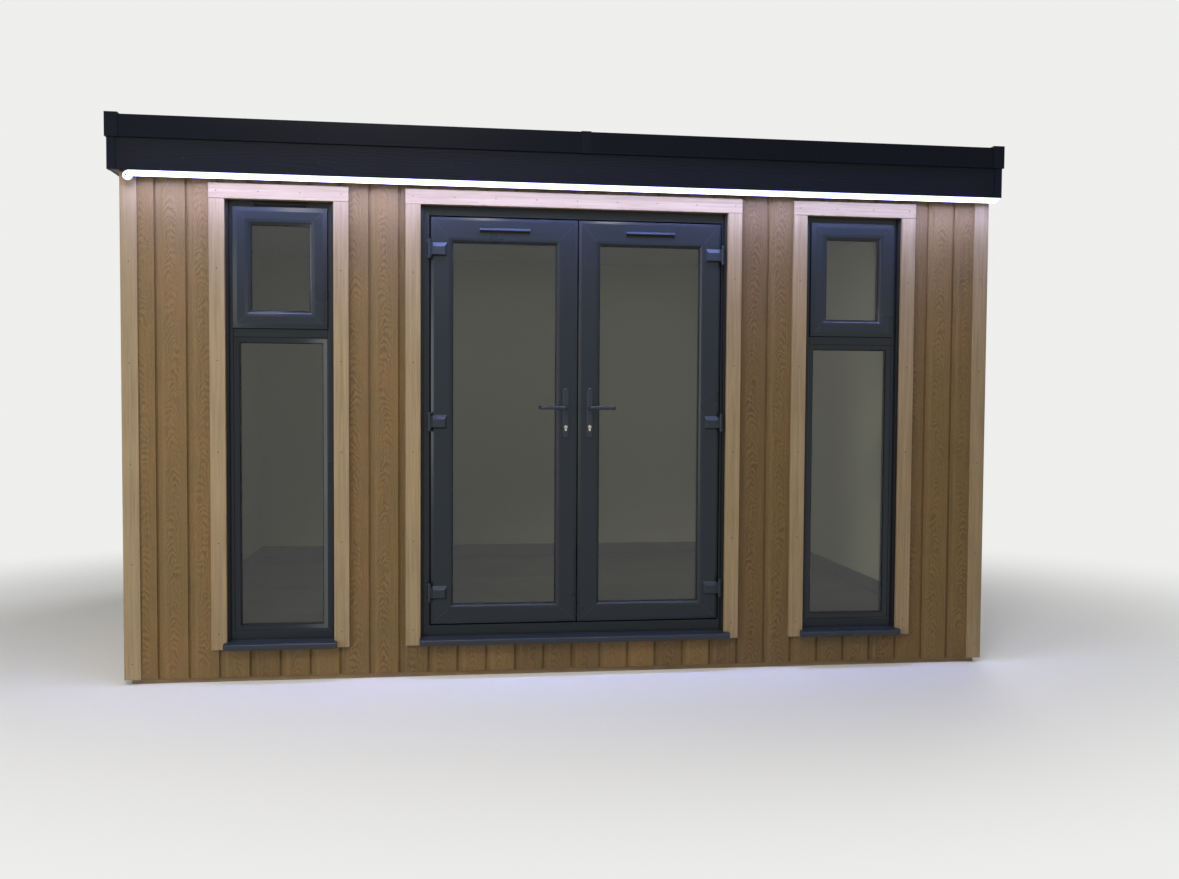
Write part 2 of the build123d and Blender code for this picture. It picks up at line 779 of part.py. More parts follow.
# Windows: a frame with a transom, a fixed pane below it and a glazed top sash above it
light_bottom = frame_bottom + window_frame_width
light_top = frame_top - window_frame_width
transom_top = window_transom_base + window_transom_height
sash_half = window_light_half - sash_gap
sash_bottom = transom_top + sash_gap
sash_top = light_top - sash_gap
bead_half = window_light_half - glass_gap
bead_front = frame_front + window_bead_set_back
bead_back = frame_back - window_bead_set_back
pane_half = window_light_half - window_bead_width
pane_bottom = light_bottom + window_bead_width
pane_top = window_transom_base - window_bead_width
sash_sight_half = sash_half - sash_profile
sash_sight_bottom = sash_bottom + sash_profile
sash_sight_top = sash_top - sash_profile
for side_name, side in sides.items():
    window_x = side * window_centre

    with BuildPart() as window_frame:
        with BuildSketch(Plane.XZ.offset(-frame_back)):
            with Locations((window_x, (frame_bottom + frame_top) / 2)):
                Rectangle(2 * window_frame_half, frame_top - frame_bottom)
            with Locations((window_x, (light_bottom + window_transom_base) / 2)):
                Rectangle(2 * window_light_half, window_transom_base - light_bottom, mode=Mode.SUBTRACT)
            with Locations((window_x, (transom_top + light_top) / 2)):
                Rectangle(2 * window_light_half, light_top - transom_top, mode=Mode.SUBTRACT)
        extrude(amount=frame_depth)
        # The ring of glazing beads round the fixed pane is a solid of its own
        with BuildSketch(Plane.XZ.offset(-bead_back)):
            with Locations((window_x, (light_bottom + window_transom_base) / 2)):
                Rectangle(2 * bead_half, window_transom_base - light_bottom - 2 * glass_gap)
            with Locations((window_x, (pane_bottom + pane_top) / 2)):
                Rectangle(2 * pane_half, pane_top - pane_bottom, mode=Mode.SUBTRACT)
        extrude(amount=bead_back - bead_front)
        for face_order in (1, -2):
            bead_face = window_frame.faces().filter_by(Axis.Y).group_by(Axis.Y)[face_order][0]
            chamfer(
                bead_face.inner_wires()[0].edges(),
                window_bead_bevel_width,
                window_bead_bevel_depth,
                reference=bead_face,
            )
        block(
            (window_x - pane_half - glass_bite, window_x + pane_half + glass_bite),
            (window_glass_front, window_glass_front + glass_thickness),
            (pane_bottom - glass_bite, pane_top + glass_bite),
            mode=Mode.SUBTRACT,
        )
    write_part(window_frame, f"{side_name}_window_frame")

    with BuildPart() as window_sash:
        with BuildSketch(Plane.XZ.offset(-sash_back)):
            with Locations((window_x, (sash_bottom + sash_top) / 2)):
                Rectangle(2 * sash_half, sash_top - sash_bottom)
            with Locations((window_x, (sash_sight_bottom + sash_sight_top) / 2)):
                Rectangle(2 * sash_sight_half, sash_sight_top - sash_sight_bottom, mode=Mode.SUBTRACT)
        extrude(amount=sash_thickness)
        sash_face = window_sash.faces().sort_by(Axis.Y)[0]
        chamfer(
            sash_face.outer_wire().edges(),
            sash_edge_bevel_width,
            sash_edge_bevel_depth,
            reference=sash_face,
        )
        sash_face = window_sash.faces().sort_by(Axis.Y)[0]
        chamfer(
            sash_face.inner_wires()[0].edges(),
            sash_bead_bevel_width,
            sash_bead_bevel_depth,
            reference=sash_face,
        )
        block(
            (window_x - sash_sight_half - glass_bite, window_x + sash_sight_half + glass_bite),
            (sash_glass_front, sash_glass_front + glass_thickness),
            (sash_sight_bottom - glass_bite, sash_sight_top + glass_bite),
            mode=Mode.SUBTRACT,
        )
    write_part(window_sash, f"{side_name}_window_sash")

    with BuildPart() as window_glass:
        pane_reach = glass_bite - glass_gap
        block(
            (window_x - pane_half - pane_reach, window_x + pane_half + pane_reach),
            (window_glass_front + glass_gap, window_glass_front + glass_thickness - glass_gap),
            (pane_bottom - pane_reach, pane_top + pane_reach),
        )
        block(
            (window_x - sash_sight_half - pane_reach, window_x + sash_sight_half + pane_reach),
            (sash_glass_front + glass_gap, sash_glass_front + glass_thickness - glass_gap),
            (sash_sight_bottom - pane_reach, sash_sight_top + pane_reach),
        )
    write_part(window_glass, f"{side_name}_window_glass")

with BuildPart() as left_window_vent:
    add_vent_hood(-window_centre, frame_front, frame_top - window_vent_below_frame_top)
write_part(left_window_vent, "left_window_vent")
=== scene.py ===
import math

import bmesh
import bpy
from bmesh.types import BMEdge, BMVert
from mathutils import Matrix, Vector


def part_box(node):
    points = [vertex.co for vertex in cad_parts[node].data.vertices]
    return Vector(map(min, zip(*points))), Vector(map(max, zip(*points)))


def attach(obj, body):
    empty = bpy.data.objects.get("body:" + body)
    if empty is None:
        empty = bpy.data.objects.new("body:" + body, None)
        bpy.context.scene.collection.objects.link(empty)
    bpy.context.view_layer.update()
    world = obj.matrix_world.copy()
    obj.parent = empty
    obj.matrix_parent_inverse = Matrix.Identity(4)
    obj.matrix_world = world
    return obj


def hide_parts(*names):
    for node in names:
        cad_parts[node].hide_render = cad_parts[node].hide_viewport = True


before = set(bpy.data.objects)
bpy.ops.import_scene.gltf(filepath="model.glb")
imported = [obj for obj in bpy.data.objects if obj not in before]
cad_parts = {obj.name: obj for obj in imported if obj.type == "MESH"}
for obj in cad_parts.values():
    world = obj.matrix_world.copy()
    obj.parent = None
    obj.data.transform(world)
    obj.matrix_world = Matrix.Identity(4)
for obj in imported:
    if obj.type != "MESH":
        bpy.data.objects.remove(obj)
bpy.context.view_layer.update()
mm = 0.001
fullTurn = 6.2832
print("frame loaded:", len(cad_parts), "nodes")


# measures and shapes, all in millimetres until a piece is finished

def nodeBox(node):
    low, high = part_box(node)
    return low / mm, high / mm


def only(kind, parts):
    return [part for part in parts if isinstance(part, kind)]


def bevelEdges(part, edges, width, segments=2):
    return bmesh.ops.bevel(part, geom=list(edges), offset=width, offset_type="OFFSET", segments=segments,
                           profile=0.5, affect="EDGES", material=-1, clamp_overlap=True)


def sharpEdges(part, angle=50):
    return [e for e in part.edges if len(e.link_faces) == 2 and e.calc_face_angle(0) > math.radians(angle)]


def edgesAlong(part, axis):
    index = "xyz".index(axis)
    return [e for e in part.edges if abs((e.verts[0].co - e.verts[1].co).normalized()[index]) > 0.99]


def newBox(corner, opposite):
    ends = [sorted(pair) for pair in zip(corner, opposite)]
    low, high = Vector([end[0] for end in ends]), Vector([end[1] for end in ends])
    part = bmesh.new()
    bmesh.ops.create_cube(part, size=1)
    bmesh.ops.scale(part, vec=high - low, verts=part.verts)
    bmesh.ops.translate(part, vec=(low + high) / 2, verts=part.verts)
    return part


def addTo(mesh, part, material=0):
    bmesh.ops.recalc_face_normals(part, faces=part.faces)
    for face in part.faces:
        face.material_index = max(face.material_index, material)
    data = bpy.data.meshes.new("part")
    part.to_mesh(data)
    part.free()
    mesh.from_mesh(data)
    bpy.data.meshes.remove(data)


def addBlock(mesh, corner, opposite, edge=0.0, segments=1, material=0):
    part = newBox(corner, opposite)
    if edge:
        bevelEdges(part, sharpEdges(part), edge, segments)
    addTo(mesh, part, material)


def pullOut(part, faces, pull, edge=0.0, segments=2):
    # pulls flat faces out into a solid and rounds its far edges
    made = bmesh.ops.extrude_face_region(part, geom=list(faces))["geom"]
    bmesh.ops.translate(part, vec=pull, verts=only(BMVert, made))
    part.normal_update()
    if edge:
        bevelEdges(part, only(BMEdge, made), edge, segments)


def addPrism(mesh, outline, start, end, axis, edge=0.0, material=0):
    # a section drawn in the two other axes, in their order, pulled out along the named one
    index = "xyz".index(axis)
    part = bmesh.new()
    corners = [part.verts.new([*point[:index], start, *point[index:]]) for point in outline]
    pull = [0, 0, 0]
    pull[index] = end - start
    pullOut(part, [part.faces.new(corners)], pull)
    bmesh.ops.recalc_face_normals(part, faces=part.faces)
    if edge:
        bevelEdges(part, sharpEdges(part), edge, 1)
    addTo(mesh, part, material)


def addRod(mesh, start, end, radius, endRadius=None, edge=0.0, segments=24, material=0):
    part = bmesh.new()
    start, end = Vector(start), Vector(end)
    turn = (end - start).to_track_quat("Z", "Y").to_matrix().to_4x4()
    bmesh.ops.create_cone(part, cap_ends=True, segments=segments, radius1=radius,
                          radius2=radius if endRadius is None else endRadius, depth=(end - start).length,
                          matrix=Matrix.Translation((start + end) / 2) @ turn)
    if edge:
        bevelEdges(part, sharpEdges(part), edge, 2)
    addTo(mesh, part, material)


def addScrew(mesh, at, facing, radius=3.3, proud=0.7):
    # a tapered head with a sunk middle
    part = bmesh.new()
    at, facing = Vector(at), Vector(facing)
    turn = facing.to_track_quat("Z", "Y").to_matrix().to_4x4()
    bmesh.ops.create_cone(part, cap_ends=True, segments=10, radius1=radius, radius2=radius * 0.8,
                          depth=2 * proud, matrix=Matrix.Translation(at) @ turn)
    part.normal_update()
    top = max(part.faces, key=lambda f: f.calc_center_median().dot(facing))
    bmesh.ops.inset_region(part, faces=[top], thickness=radius * 0.35, depth=0, use_even_offset=True)
    bmesh.ops.translate(part, vec=facing * -proud * 0.7, verts=top.verts)
    addTo(mesh, part)


def addSlotPlate(mesh, middle, width, height, pull, edge):
    # a round-ended plate: a circle with its halves moved apart, pulled out and rounded over
    part = bmesh.new()
    segments = 32
    halfStep = Matrix.Rotation(math.pi / segments, 4, "Z")
    turn = Matrix.Rotation(math.radians(90), 4, "X") @ halfStep
    bmesh.ops.create_circle(part, cap_ends=True, segments=segments, radius=width / 2, matrix=turn)
    apart = (height - width) / 2
    for way in (-1, 1):
        bmesh.ops.translate(part, vec=(0, 0, way * apart), verts=[v for v in part.verts if v.co.z * way > 0])
    bmesh.ops.translate(part, vec=middle, verts=part.verts)
    pullOut(part, part.faces[:], (0, pull, 0), edge, 3)
    addTo(mesh, part)


def addRim(mesh, halfX, halfY, section):
    # a band round the roof: its section at one corner, in steps (outwards, height), goes round the others
    part = bmesh.new()
    points = [part.verts.new((-halfX - out, -halfY - out, z)) for out, z in section]
    ring = [part.edges.new((points[i - 1], points[i])) for i in range(len(points))]
    for flip in ((-1, 1, 1), (1, -1, 1), (-1, 1, 1), (1, -1, 1)):
        made = bmesh.ops.extrude_edge_only(part, edges=ring)["geom"]
        bmesh.ops.scale(part, vec=flip, verts=only(BMVert, made))
        ring = only(BMEdge, made)
    bmesh.ops.remove_doubles(part, verts=part.verts, dist=0.01)
    addTo(mesh, part)


def insetFace(part, corners, steps):
    # each step goes inwards and then outwards along the face's own direction
    face = part.faces.new([part.verts.new(c) for c in corners])
    face.normal_update()
    for inwards, outwards in steps:
        bmesh.ops.inset_region(part, faces=[face], thickness=inwards, depth=outwards, use_boundary=True,
                               use_even_offset=True)
    bmesh.ops.delete(part, geom=[face], context="FACES_ONLY")


def rise(steps, count=3):
    # how far the first steps bring a face out
    return sum(outwards for _, outwards in steps[:count] if outwards > 0)


def addRing(mesh, low, high, frontSteps, backSteps, extra=None):
    # a mitred frame round an opening: the two faces are stepped inwards, then joined at both edges
    part = bmesh.new()
    (x0, y0, z0), (x1, y1, z1) = low, high
    insetFace(part, [(x0, y0, z0), (x1, y0, z0), (x1, y0, z1), (x0, y0, z1)], frontSteps)
    insetFace(part, [(x0, y1, z1), (x1, y1, z1), (x1, y1, z0), (x0, y1, z0)], backSteps)

    def atOuterEdge(edge):
        middle = (edge.verts[0].co + edge.verts[1].co) / 2
        return min(abs(middle.x - x0), abs(middle.x - x1), abs(middle.z - z0), abs(middle.z - z1)) < 0.01
    rim = [e for e in part.edges if e.is_boundary]
    outer = [e for e in rim if atOuterEdge(e)]
    inner = [e for e in rim if not atOuterEdge(e)]
    bmesh.ops.bridge_loops(part, edges=outer)
    bmesh.ops.bridge_loops(part, edges=inner)
    if extra:
        stretchRing(part, z0, z1, extra)
    addTo(mesh, part)


def stretchRing(part, z0, z1, extra):
    # moves what lies inside a ring's flat, where one side is wider than the others
    middle = (z0 + z1) / 2
    upper = [v for v in part.verts if middle < v.co.z < z1 - extra["reach"]]
    lower = [v for v in part.verts if z0 + extra["reach"] < v.co.z < middle]
    bmesh.ops.translate(part, vec=(0, 0, -extra["top"]), verts=upper)
    bmesh.ops.translate(part, vec=(0, 0, extra["bottom"]), verts=lower)


def addFacedRing(mesh, low, high, frontSteps, backSteps, extra=None):
    # the same between two flats: what its first steps rise is taken off the box
    addRing(mesh, (low.x, low.y + rise(frontSteps), low.z), (high.x, high.y - rise(backSteps), high.z),
            frontSteps, backSteps, extra)


def finishPiece(mesh, name, finishes, body, stands=(), angle=40):
    bmesh.ops.scale(mesh, vec=(mm, mm, mm), verts=mesh.verts)
    data = bpy.data.meshes.new(name)
    mesh.to_mesh(data)
    mesh.free()
    data.polygons.foreach_set("use_smooth", [True] * len(data.polygons))
    data.set_sharp_from_angle(angle=math.radians(angle))
    piece = bpy.data.objects.new(name, data)
    bpy.context.scene.collection.objects.link(piece)
    even = piece.modifiers.new("evenShading", "WEIGHTED_NORMAL")
    even.keep_sharp = True
    for finish in finishes:
        data.materials.append(finish)
    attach(piece, body)
    if stands:
        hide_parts(*stands)
    return piece


def dressNode(finish, *nodes):
    for name in nodes:
        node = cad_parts[name]
        if not node.material_slots:
            node.data.materials.append(finish)
        for place in node.material_slots:
            place.material = finish


# shader arithmetic

def maths(operation, swapped=False):
    # what one of Python's operators does to a figure: it adds a Math node
    def run(figure, other):
        pair = (other, figure) if swapped else (figure, other)
        return figure.finish.node("ShaderNodeMath", {"operation": operation}, dict(enumerate(pair)))
    return run


class Figure:
    # a socket of a shader that Python can add up and multiply
    def __init__(self, finish, socket):
        self.finish, self.socket = finish, socket

    __add__ = __radd__ = maths("ADD")
    __mul__ = __rmul__ = maths("MULTIPLY")
    __sub__, __rsub__ = maths("SUBTRACT"), maths("SUBTRACT", True)
    __truediv__, __rtruediv__ = maths("DIVIDE"), maths("DIVIDE", True)
    __pow__ = maths("POWER")

    def run(self, operation, *others):
        return self.finish.node("ShaderNodeMath", {"operation": operation}, dict(enumerate((self, *others))))

    def held(self, low, high):
        return self.run("MINIMUM", high).run("MAXIMUM", low)

    def swing(self, amount):
        # turns 0 to 1 into as much either side of nothing
        return (self - 0.5) * amount

    def wave(self):
        return self.run("SINE") * 0.5 + 0.5

    def between(self, low, high):
        return self.finish.node("ShaderNodeMapRange", {"interpolation_type": "SMOOTHSTEP"},
                                {"Value": self, "From Min": low, "From Max": high})


class Finish:
    def __init__(self, tree):
        self.tree = tree
        self.tree.nodes.clear()

    def node(self, kind, settings=None, inputs=None, output=0):
        made = self.tree.nodes.new(kind)
        for key, value in (settings or {}).items():
            setattr(made, key, value)
        for key, value in (inputs or {}).items():
            if isinstance(value, Figure):
                self.tree.links.new(value.socket, made.inputs[key])
            else:
                made.inputs[key].default_value = value
        return Figure(self, made.outputs[output]) if made.outputs else made

    def place(self, scale=(1, 1, 1), turn=0.0):
        where = self.node("ShaderNodeTexCoord", output="Object")
        return self.node("ShaderNodeMapping", {}, {"Vector": where, "Scale": scale,
                                                   "Rotation": (0, 0, math.radians(turn))})

    def axes(self, vector):
        return [self.node("ShaderNodeSeparateXYZ", {}, {0: vector}, output=i) for i in range(3)]

    def vector(self, x, y, z):
        return self.node("ShaderNodeCombineXYZ", {}, {0: x, 1: y, 2: z})

    def noise(self, vector, scale=1.0, detail=2.0, roughness=0.5):
        return self.node("ShaderNodeTexNoise", {}, {"Vector": vector, "Scale": scale, "Detail": detail,
                                                    "Roughness": roughness})

    def grain(self, x, y, z, detail=2.0, roughness=0.5):
        # noise that is drawn out by what its three places are multiplied by
        return self.noise(self.vector(x, y, z), 1.0, detail, roughness)

    def blendColour(self, factor, first, second, way="MIX"):
        return self.node("ShaderNodeMix", {"data_type": "RGBA", "blend_type": way},
                         {0: factor, 6: first, 7: second}, output=2)

    def bump(self, height, depth):
        return self.node("ShaderNodeBump", {}, {"Height": height, "Distance": depth})

    def ray(self, kind):
        return self.node("ShaderNodeLightPath", output=f"Is {kind} Ray")

    def showsBackdrop(self):
        # the rays that the plain backdrop is for: the camera's own, mirrored ones and those through glass
        return self.ray("Camera").run("MAXIMUM", self.ray("Glossy")).run("MAXIMUM", self.ray("Transmission"))

    def shader(self, kind, inputs):
        return self.node(f"ShaderNode{kind}", {}, inputs)

    def end(self, shader):
        kind = "ShaderNodeOutputWorld" if self.tree == getattr(bpy.context.scene.world, "node_tree", None) \
            else "ShaderNodeOutputMaterial"
        self.node(kind, {}, {"Surface": shader})

    def surface(self, inputs):
        self.end(self.shader("BsdfPrincipled", inputs))


def tone(red, green, blue):
    # a colour as it looks on a screen, 0 to 255, turned into the light it stands for
    return tuple((c / 255 / 12.92) if c <= 10 else ((c / 255 + 0.055) / 1.055) ** 2.4
                 for c in (red, green, blue)) + (1.0,)


def scaled(colour, factor):
    return tuple(min(1.0, c * factor) for c in colour[:3]) + (1.0,)


def newFinish(name):
    material = bpy.data.materials.new(name)
    material.use_nodes = True
    return material, Finish(material.node_tree)


boardLook = {"pitch": 0.1396, "firstGroove": -1.975, "middle": 0.53,
             "dark": tone(51, 36, 18), "light": tone(123, 98, 57),
             "reddish": (1.03, 0.995, 0.97, 1.0), "olive": (0.975, 1.005, 1.0, 1.0),
             "arch": 0.034, "lean": 2.4, "drift": 0.05, "wobble": 0.022, "oneSided": 0.85, "inner": 0.016,
             "outer": 0.044, "apex": 0.007, "roughness": 0.62, "relief": 0.0008}


def boardFinish(name, turned):
    # brown composite board: a broken column of small embossed arches, and long straight fibres beside it
    look = boardLook
    material, f = newFinish(name)
    across, _, along = f.axes(f.place(turn=turned))
    steps = (across - look["firstGroove"]) / look["pitch"]
    number = steps.run("FLOOR")
    inBoard = (steps - number - look["middle"]) * look["pitch"]
    chance = f.node("ShaderNodeTexWhiteNoise", {"noise_dimensions": "1D"}, {"W": number + 0.5})
    height = along + chance * 9.0
    drift = f.grain(number * 3.1, 0.0, height * 1.6, 1.0).swing(look["drift"])
    wobble = f.grain(inBoard * 22, number * 4.1, height * 26).swing(look["wobble"])
    aside = inBoard - drift + wobble
    offset = (aside * aside + look["apex"] ** 2) ** 0.5
    oneSided = f.grain(number * 5.7, 9.0, height * 6, 1.0).swing(7)
    climb = offset + aside * oneSided.held(-look["oneSided"], look["oneSided"])
    lean = f.grain(number * 2.3, 4.0, height * 5, 1.0) * look["lean"] + 0.4
    broken = (f.grain(inBoard * 30, number * 1.7, height * 15, 3.0, 0.6).swing(2.3)
              + f.grain(inBoard * 9, number * 1.1, height * 4, 1.0).swing(2.4))
    arches = (((height + climb * lean) / look["arch"] + broken) * fullTurn).wave()
    column = 1 - offset.between(look["inner"], look["outer"])
    patch = f.grain(inBoard * 18, number * 2.9, height * 9).between(0.32, 0.66)
    flame = (arches ** 1.3 - 0.42) * column * (patch * 0.85 + 0.15)
    strands = f.grain(inBoard * 150, number * 5.3, height * 5)
    fibres = f.grain(inBoard * 460, number, height * 8, 3.0, 0.6)
    flecks = f.grain(inBoard * 240, number * 1.3, height * 60, 2.0, 0.6)
    blotch = f.grain(across * 5, 0.0, along * 3.2, 3.0)
    shade = (0.58 - flame * 0.4 + strands.swing(0.4) + fibres.swing(0.5) + flecks.swing(0.5)
             + chance.swing(0.24) + blotch.swing(0.2))
    colour = f.blendColour(shade.held(0.0, 1.0), look["dark"], look["light"])
    hue = f.blendColour(blotch.between(0.36, 0.64), look["olive"], look["reddish"])
    f.surface({"Base Color": f.blendColour(1.0, colour, hue, "MULTIPLY"),
               "Roughness": look["roughness"] - flame * 0.1, "Specular IOR Level": 0.3,
               "Normal": f.bump(fibres * 0.4 + flecks * 0.3 - flame * 0.7, look["relief"])})
    return material


trimLook = {"dark": tone(114, 96, 67), "light": tone(153, 132, 98), "roughness": 0.58, "relief": 0.0004}


def trimFinish(name, stretch):
    # lighter tan board with a faint grain that runs along it
    look = trimLook
    material, f = newFinish(name)
    grain = f.noise(f.place(scale=stretch), 1.0, 4.0, 0.6)
    pores = f.noise(f.place(scale=[s * 3.3 for s in stretch]), 1.0, 2.0, 0.5)
    cloud = f.noise(f.place(), 2.5, 2.0)
    shade = (grain * 0.8 + pores * 0.35 + cloud * 0.35 - 0.2).between(0.1, 0.95)
    f.surface({"Base Color": f.blendColour(shade, look["dark"], look["light"]),
               "Roughness": look["roughness"] + grain.swing(0.12), "Specular IOR Level": 0.35,
               "Normal": f.bump(grain * 0.7 + pores * 0.5, look["relief"])})
    return material


coatLooks = {  # tone, how far it varies, roughness, size of its skin per metre, depth of it in mm, metal
    "anthraciteFrame": (tone(24, 31, 36), 0.10, 0.3, 700, 0.05, 0.0),
    # the outer frames' coat: a little darker than the leaves', partly painted shade of their recess
    "outerFrameShaded": (tone(19, 25, 30), 0.10, 0.3, 700, 0.05, 0.0),
    # the sills' coat: a little paler than the frames', partly their own tone and partly painted light
    "sillCoatLit": (tone(37, 43, 51), 0.10, 0.3, 700, 0.05, 0.0),
    "weldSeam": (tone(56, 62, 69), 0.10, 0.42, 900, 0.05, 0.0),
    "blackGasket": (tone(9, 9, 10), 0.15, 0.62, 900, 0.08, 0.0),
    "fasciaCoat": (tone(11, 15, 25), 0.14, 0.36, 500, 0.07, 0.0),
    "hingeCoat": (tone(27, 35, 41), 0.10, 0.5, 900, 0.04, 0.0),
    "handleCoat": (tone(38, 42, 50), 0.12, 0.24, 1200, 0.03, 0.0),
    "lockNickel": (tone(196, 190, 176), 0.08, 0.24, 1500, 0.02, 1.0),
    "screwHead": (tone(74, 60, 42), 0.2, 0.4, 1500, 0.03, 0.6),
    "darkScrew": (tone(26, 26, 29), 0.2, 0.35, 1500, 0.03, 0.6),
    "ventHood": (tone(36, 43, 49), 0.10, 0.3, 700, 0.04, 0.0),
    "wallPaint": (tone(168, 163, 138), 0.05, 0.7, 240, 0.12, 0.0),
    "ceilingPaint": (tone(186, 184, 172), 0.04, 0.75, 240, 0.10, 0.0),
    "skirtingPaint": (tone(62, 61, 62), 0.10, 0.38, 400, 0.05, 0.0),
    "roofMembrane": (tone(58, 59, 60), 0.3, 0.72, 60, 0.5, 0.0),
    # near-black for the vents' mesh and the ring round each lock plug, and painted shade in the vent slots,
    # keyways and the light's end-fitting hole
    "darkMeshAndPaintedShade": (tone(10, 10, 11), 0.3, 0.8, 1800, 0.2, 0.0),
    "stripHousing": (tone(214, 214, 218), 0.04, 0.45, 600, 0.04, 0.0),
    "capCoat": (tone(16, 20, 30), 0.14, 0.34, 500, 0.06, 0.0),
}
gloss = {"fasciaCoat": 0.07, "capCoat": 0.07, "lockNickel": 0.5, "screwHead": 0.5, "darkScrew": 0.5}


def coatFinish(name):
    colour, spread, roughness, size, depth, metal = coatLooks[name]
    material, f = newFinish(name)
    cloud = f.noise(f.place(), 3.5, 3.0)
    skin = f.noise(f.place(), float(size), 2.0)
    shade = (cloud * 0.6 + skin * 0.4 - 0.5) * 2 * spread
    darker, lighter = scaled(colour, 1 - 2 * spread), scaled(colour, 1 + 2 * spread)
    f.surface({"Base Color": f.blendColour(shade + 0.5, darker, lighter), "Metallic": metal,
               "Roughness": roughness + cloud.swing(0.14), "Normal": f.bump(skin, depth * mm),
               "Specular IOR Level": gloss.get(name, 0.3)})
    return material


fasciaLook = {"dark": tone(7, 8, 10), "light": tone(21, 23, 27), "roughness": 0.46, "relief": 0.0007}


def fasciaFinish(name):
    # dark composite board with its embossed grain running round the roof
    look = fasciaLook
    material, f = newFinish(name)
    x, y, z = f.axes(f.place())
    along = x + y
    wander = f.grain(along * 2.2, 0.0, z * 7)
    rings = ((z + wander * 0.11) * 420).wave()
    fibres = f.grain(along * 8, 0.0, z * 380, 3.0, 0.6)
    shade = rings * 0.3 + fibres * 0.7
    f.surface({"Base Color": f.blendColour(shade, look["dark"], look["light"]),
               "Roughness": look["roughness"] + shade * 0.08, "Normal": f.bump(shade, look["relief"]),
               "Specular IOR Level": 0.08})
    return material


timberLook = {"dark": tone(92, 76, 56), "light": tone(152, 128, 94), "stretch": (2.2, 60, 60),
              "roughness": 0.8, "relief": 0.0008}


def timberFinish(name):
    look = timberLook
    material, f = newFinish(name)
    grain = f.noise(f.place(scale=look["stretch"]), 1.0, 5.0, 0.62)
    bands = (f.noise(f.place(scale=[s * 0.25 for s in look["stretch"]]), 1.0, 2.0) * 60).wave()
    shade = grain * 0.7 + bands * 0.3
    f.surface({"Base Color": f.blendColour(shade, look["dark"], look["light"]),
               "Roughness": look["roughness"] + grain.swing(0.2), "Normal": f.bump(shade, look["relief"])})
    return material


plankLook = {"width": 0.19, "length": 1.29, "shift": 0.37, "edge": 0.7,
             "dark": tone(44, 41, 36), "light": tone(84, 79, 71), "roughness": 0.42, "relief": 0.0003}


def plankFinish(name):
    # grey brown laminate: a tone for each plank and a long grain in it
    look = plankLook
    material, f = newFinish(name)
    x, y, _ = f.axes(f.place())
    row = (y / look["width"]).run("FLOOR")
    number = (x / look["length"] + (row * look["shift"]).run("FRACT")).run("FLOOR")
    chance = f.node("ShaderNodeTexWhiteNoise", {"noise_dimensions": "2D"},
                    {"Vector": f.vector(row, number, 0.0)})
    grain = f.grain(x * 2.2 + chance * 7, y * 70, chance * 5, 4.0, 0.62)
    ringed = (f.grain(x * 1.1 + chance * 3, y * 9, chance * 9) * 46).wave()
    shade = grain * 0.62 + ringed * 0.18 + chance.swing(0.35) + 0.1
    f.surface({"Base Color": f.blendColour(shade.run("MINIMUM", 1.0), look["dark"], look["light"]),
               "Roughness": look["roughness"] + grain.swing(0.16),
               "Normal": f.bump(grain + ringed * 0.3, look["relief"])})
    return material


glassLook = {"tint": tone(236, 242, 240), "paler": tone(243, 246, 244), "lampTint": tone(244, 247, 246),
             "ior": 1.45}


def glassFinish(name):
    # clear glazing: lamps and soft light pass straight through, the camera sees it mirror a little
    look = glassLook
    material, f = newFinish(name)
    film = f.noise(f.place(), 1.3, 2.0)
    pane = f.shader("BsdfPrincipled", {"Base Color": f.blendColour(film, look["tint"], look["paler"]),
                                       "Roughness": 0.0, "IOR": look["ior"], "Transmission Weight": 1.0})
    clear = f.shader("BsdfTransparent", {"Color": look["lampTint"]})
    passes = f.ray("Shadow").run("MAXIMUM", f.ray("Diffuse"))
    f.end(f.shader("MixShader", {0: passes, 1: pane, 2: clear}))
    return material


lightLook = {"colour": (0.33, 0.40, 1.0, 1.0), "tube": tone(240, 242, 246), "dim": 0.93, "pitch": 0.0167,
             "front": 3.0, "corner": 8.0, "under": 14.0, "fitting": 1.1}


def lightFinish(name, strength):
    # lit diffuser of the light strip, with the faint pitch of the lights behind it
    look = lightLook
    material, f = newFinish(name)
    x, _, _ = f.axes(f.place())
    pitch = (x * (fullTurn / look["pitch"])).wave()
    glow = f.blendColour(pitch, scaled(look["colour"], look["dim"]), look["colour"])
    f.surface({"Base Color": look["tube"], "Roughness": 0.4 + pitch * 0.08, "Emission Strength": strength,
               "Emission Color": glow})
    return material


boardsUpright = boardFinish("brownBoards", 0)
boardsSide = boardFinish("brownBoardsSide", 90)
trimUpright = trimFinish("tanTrimUpright", (95, 95, 2.6))
trimLevel = trimFinish("tanTrimLevel", (2.6, 95, 95))
coats = {name: coatFinish(name) for name in coatLooks}
glazing = glassFinish("clearGlazing")
litTube = [lightFinish(f"litTube{part.title()}", lightLook[part]) for part in ("front", "corner", "under")]
endGlow = lightFinish("endFitting", lightLook["fitting"])
fasciaBoards = fasciaFinish("fasciaBoards")
laminate = plankFinish("greyLaminate")
baseTimber = timberFinish("sawnTimber")
print("finishes made:", len(bpy.data.materials))


# base, walls, floor and ceiling of the room

dressNode(baseTimber, "front_bearer", "middle_bearer", "back_bearer", "floor_panel")
dressNode(coats["wallPaint"], "front_wall_left_corner", "front_wall_left_pier", "front_wall_right_pier",
          "front_wall_right_corner", "front_wall_head", "left_wall", "right_wall", "back_wall")
dressNode(coats["ceilingPaint"], "ceiling_lining")
dressNode(coats["fasciaCoat"], "roof_panel")
dressNode(coats["roofMembrane"], "roof_membrane")
dressNode(glazing, "left_leaf_glass", "right_leaf_glass", "left_window_glass", "right_window_glass")

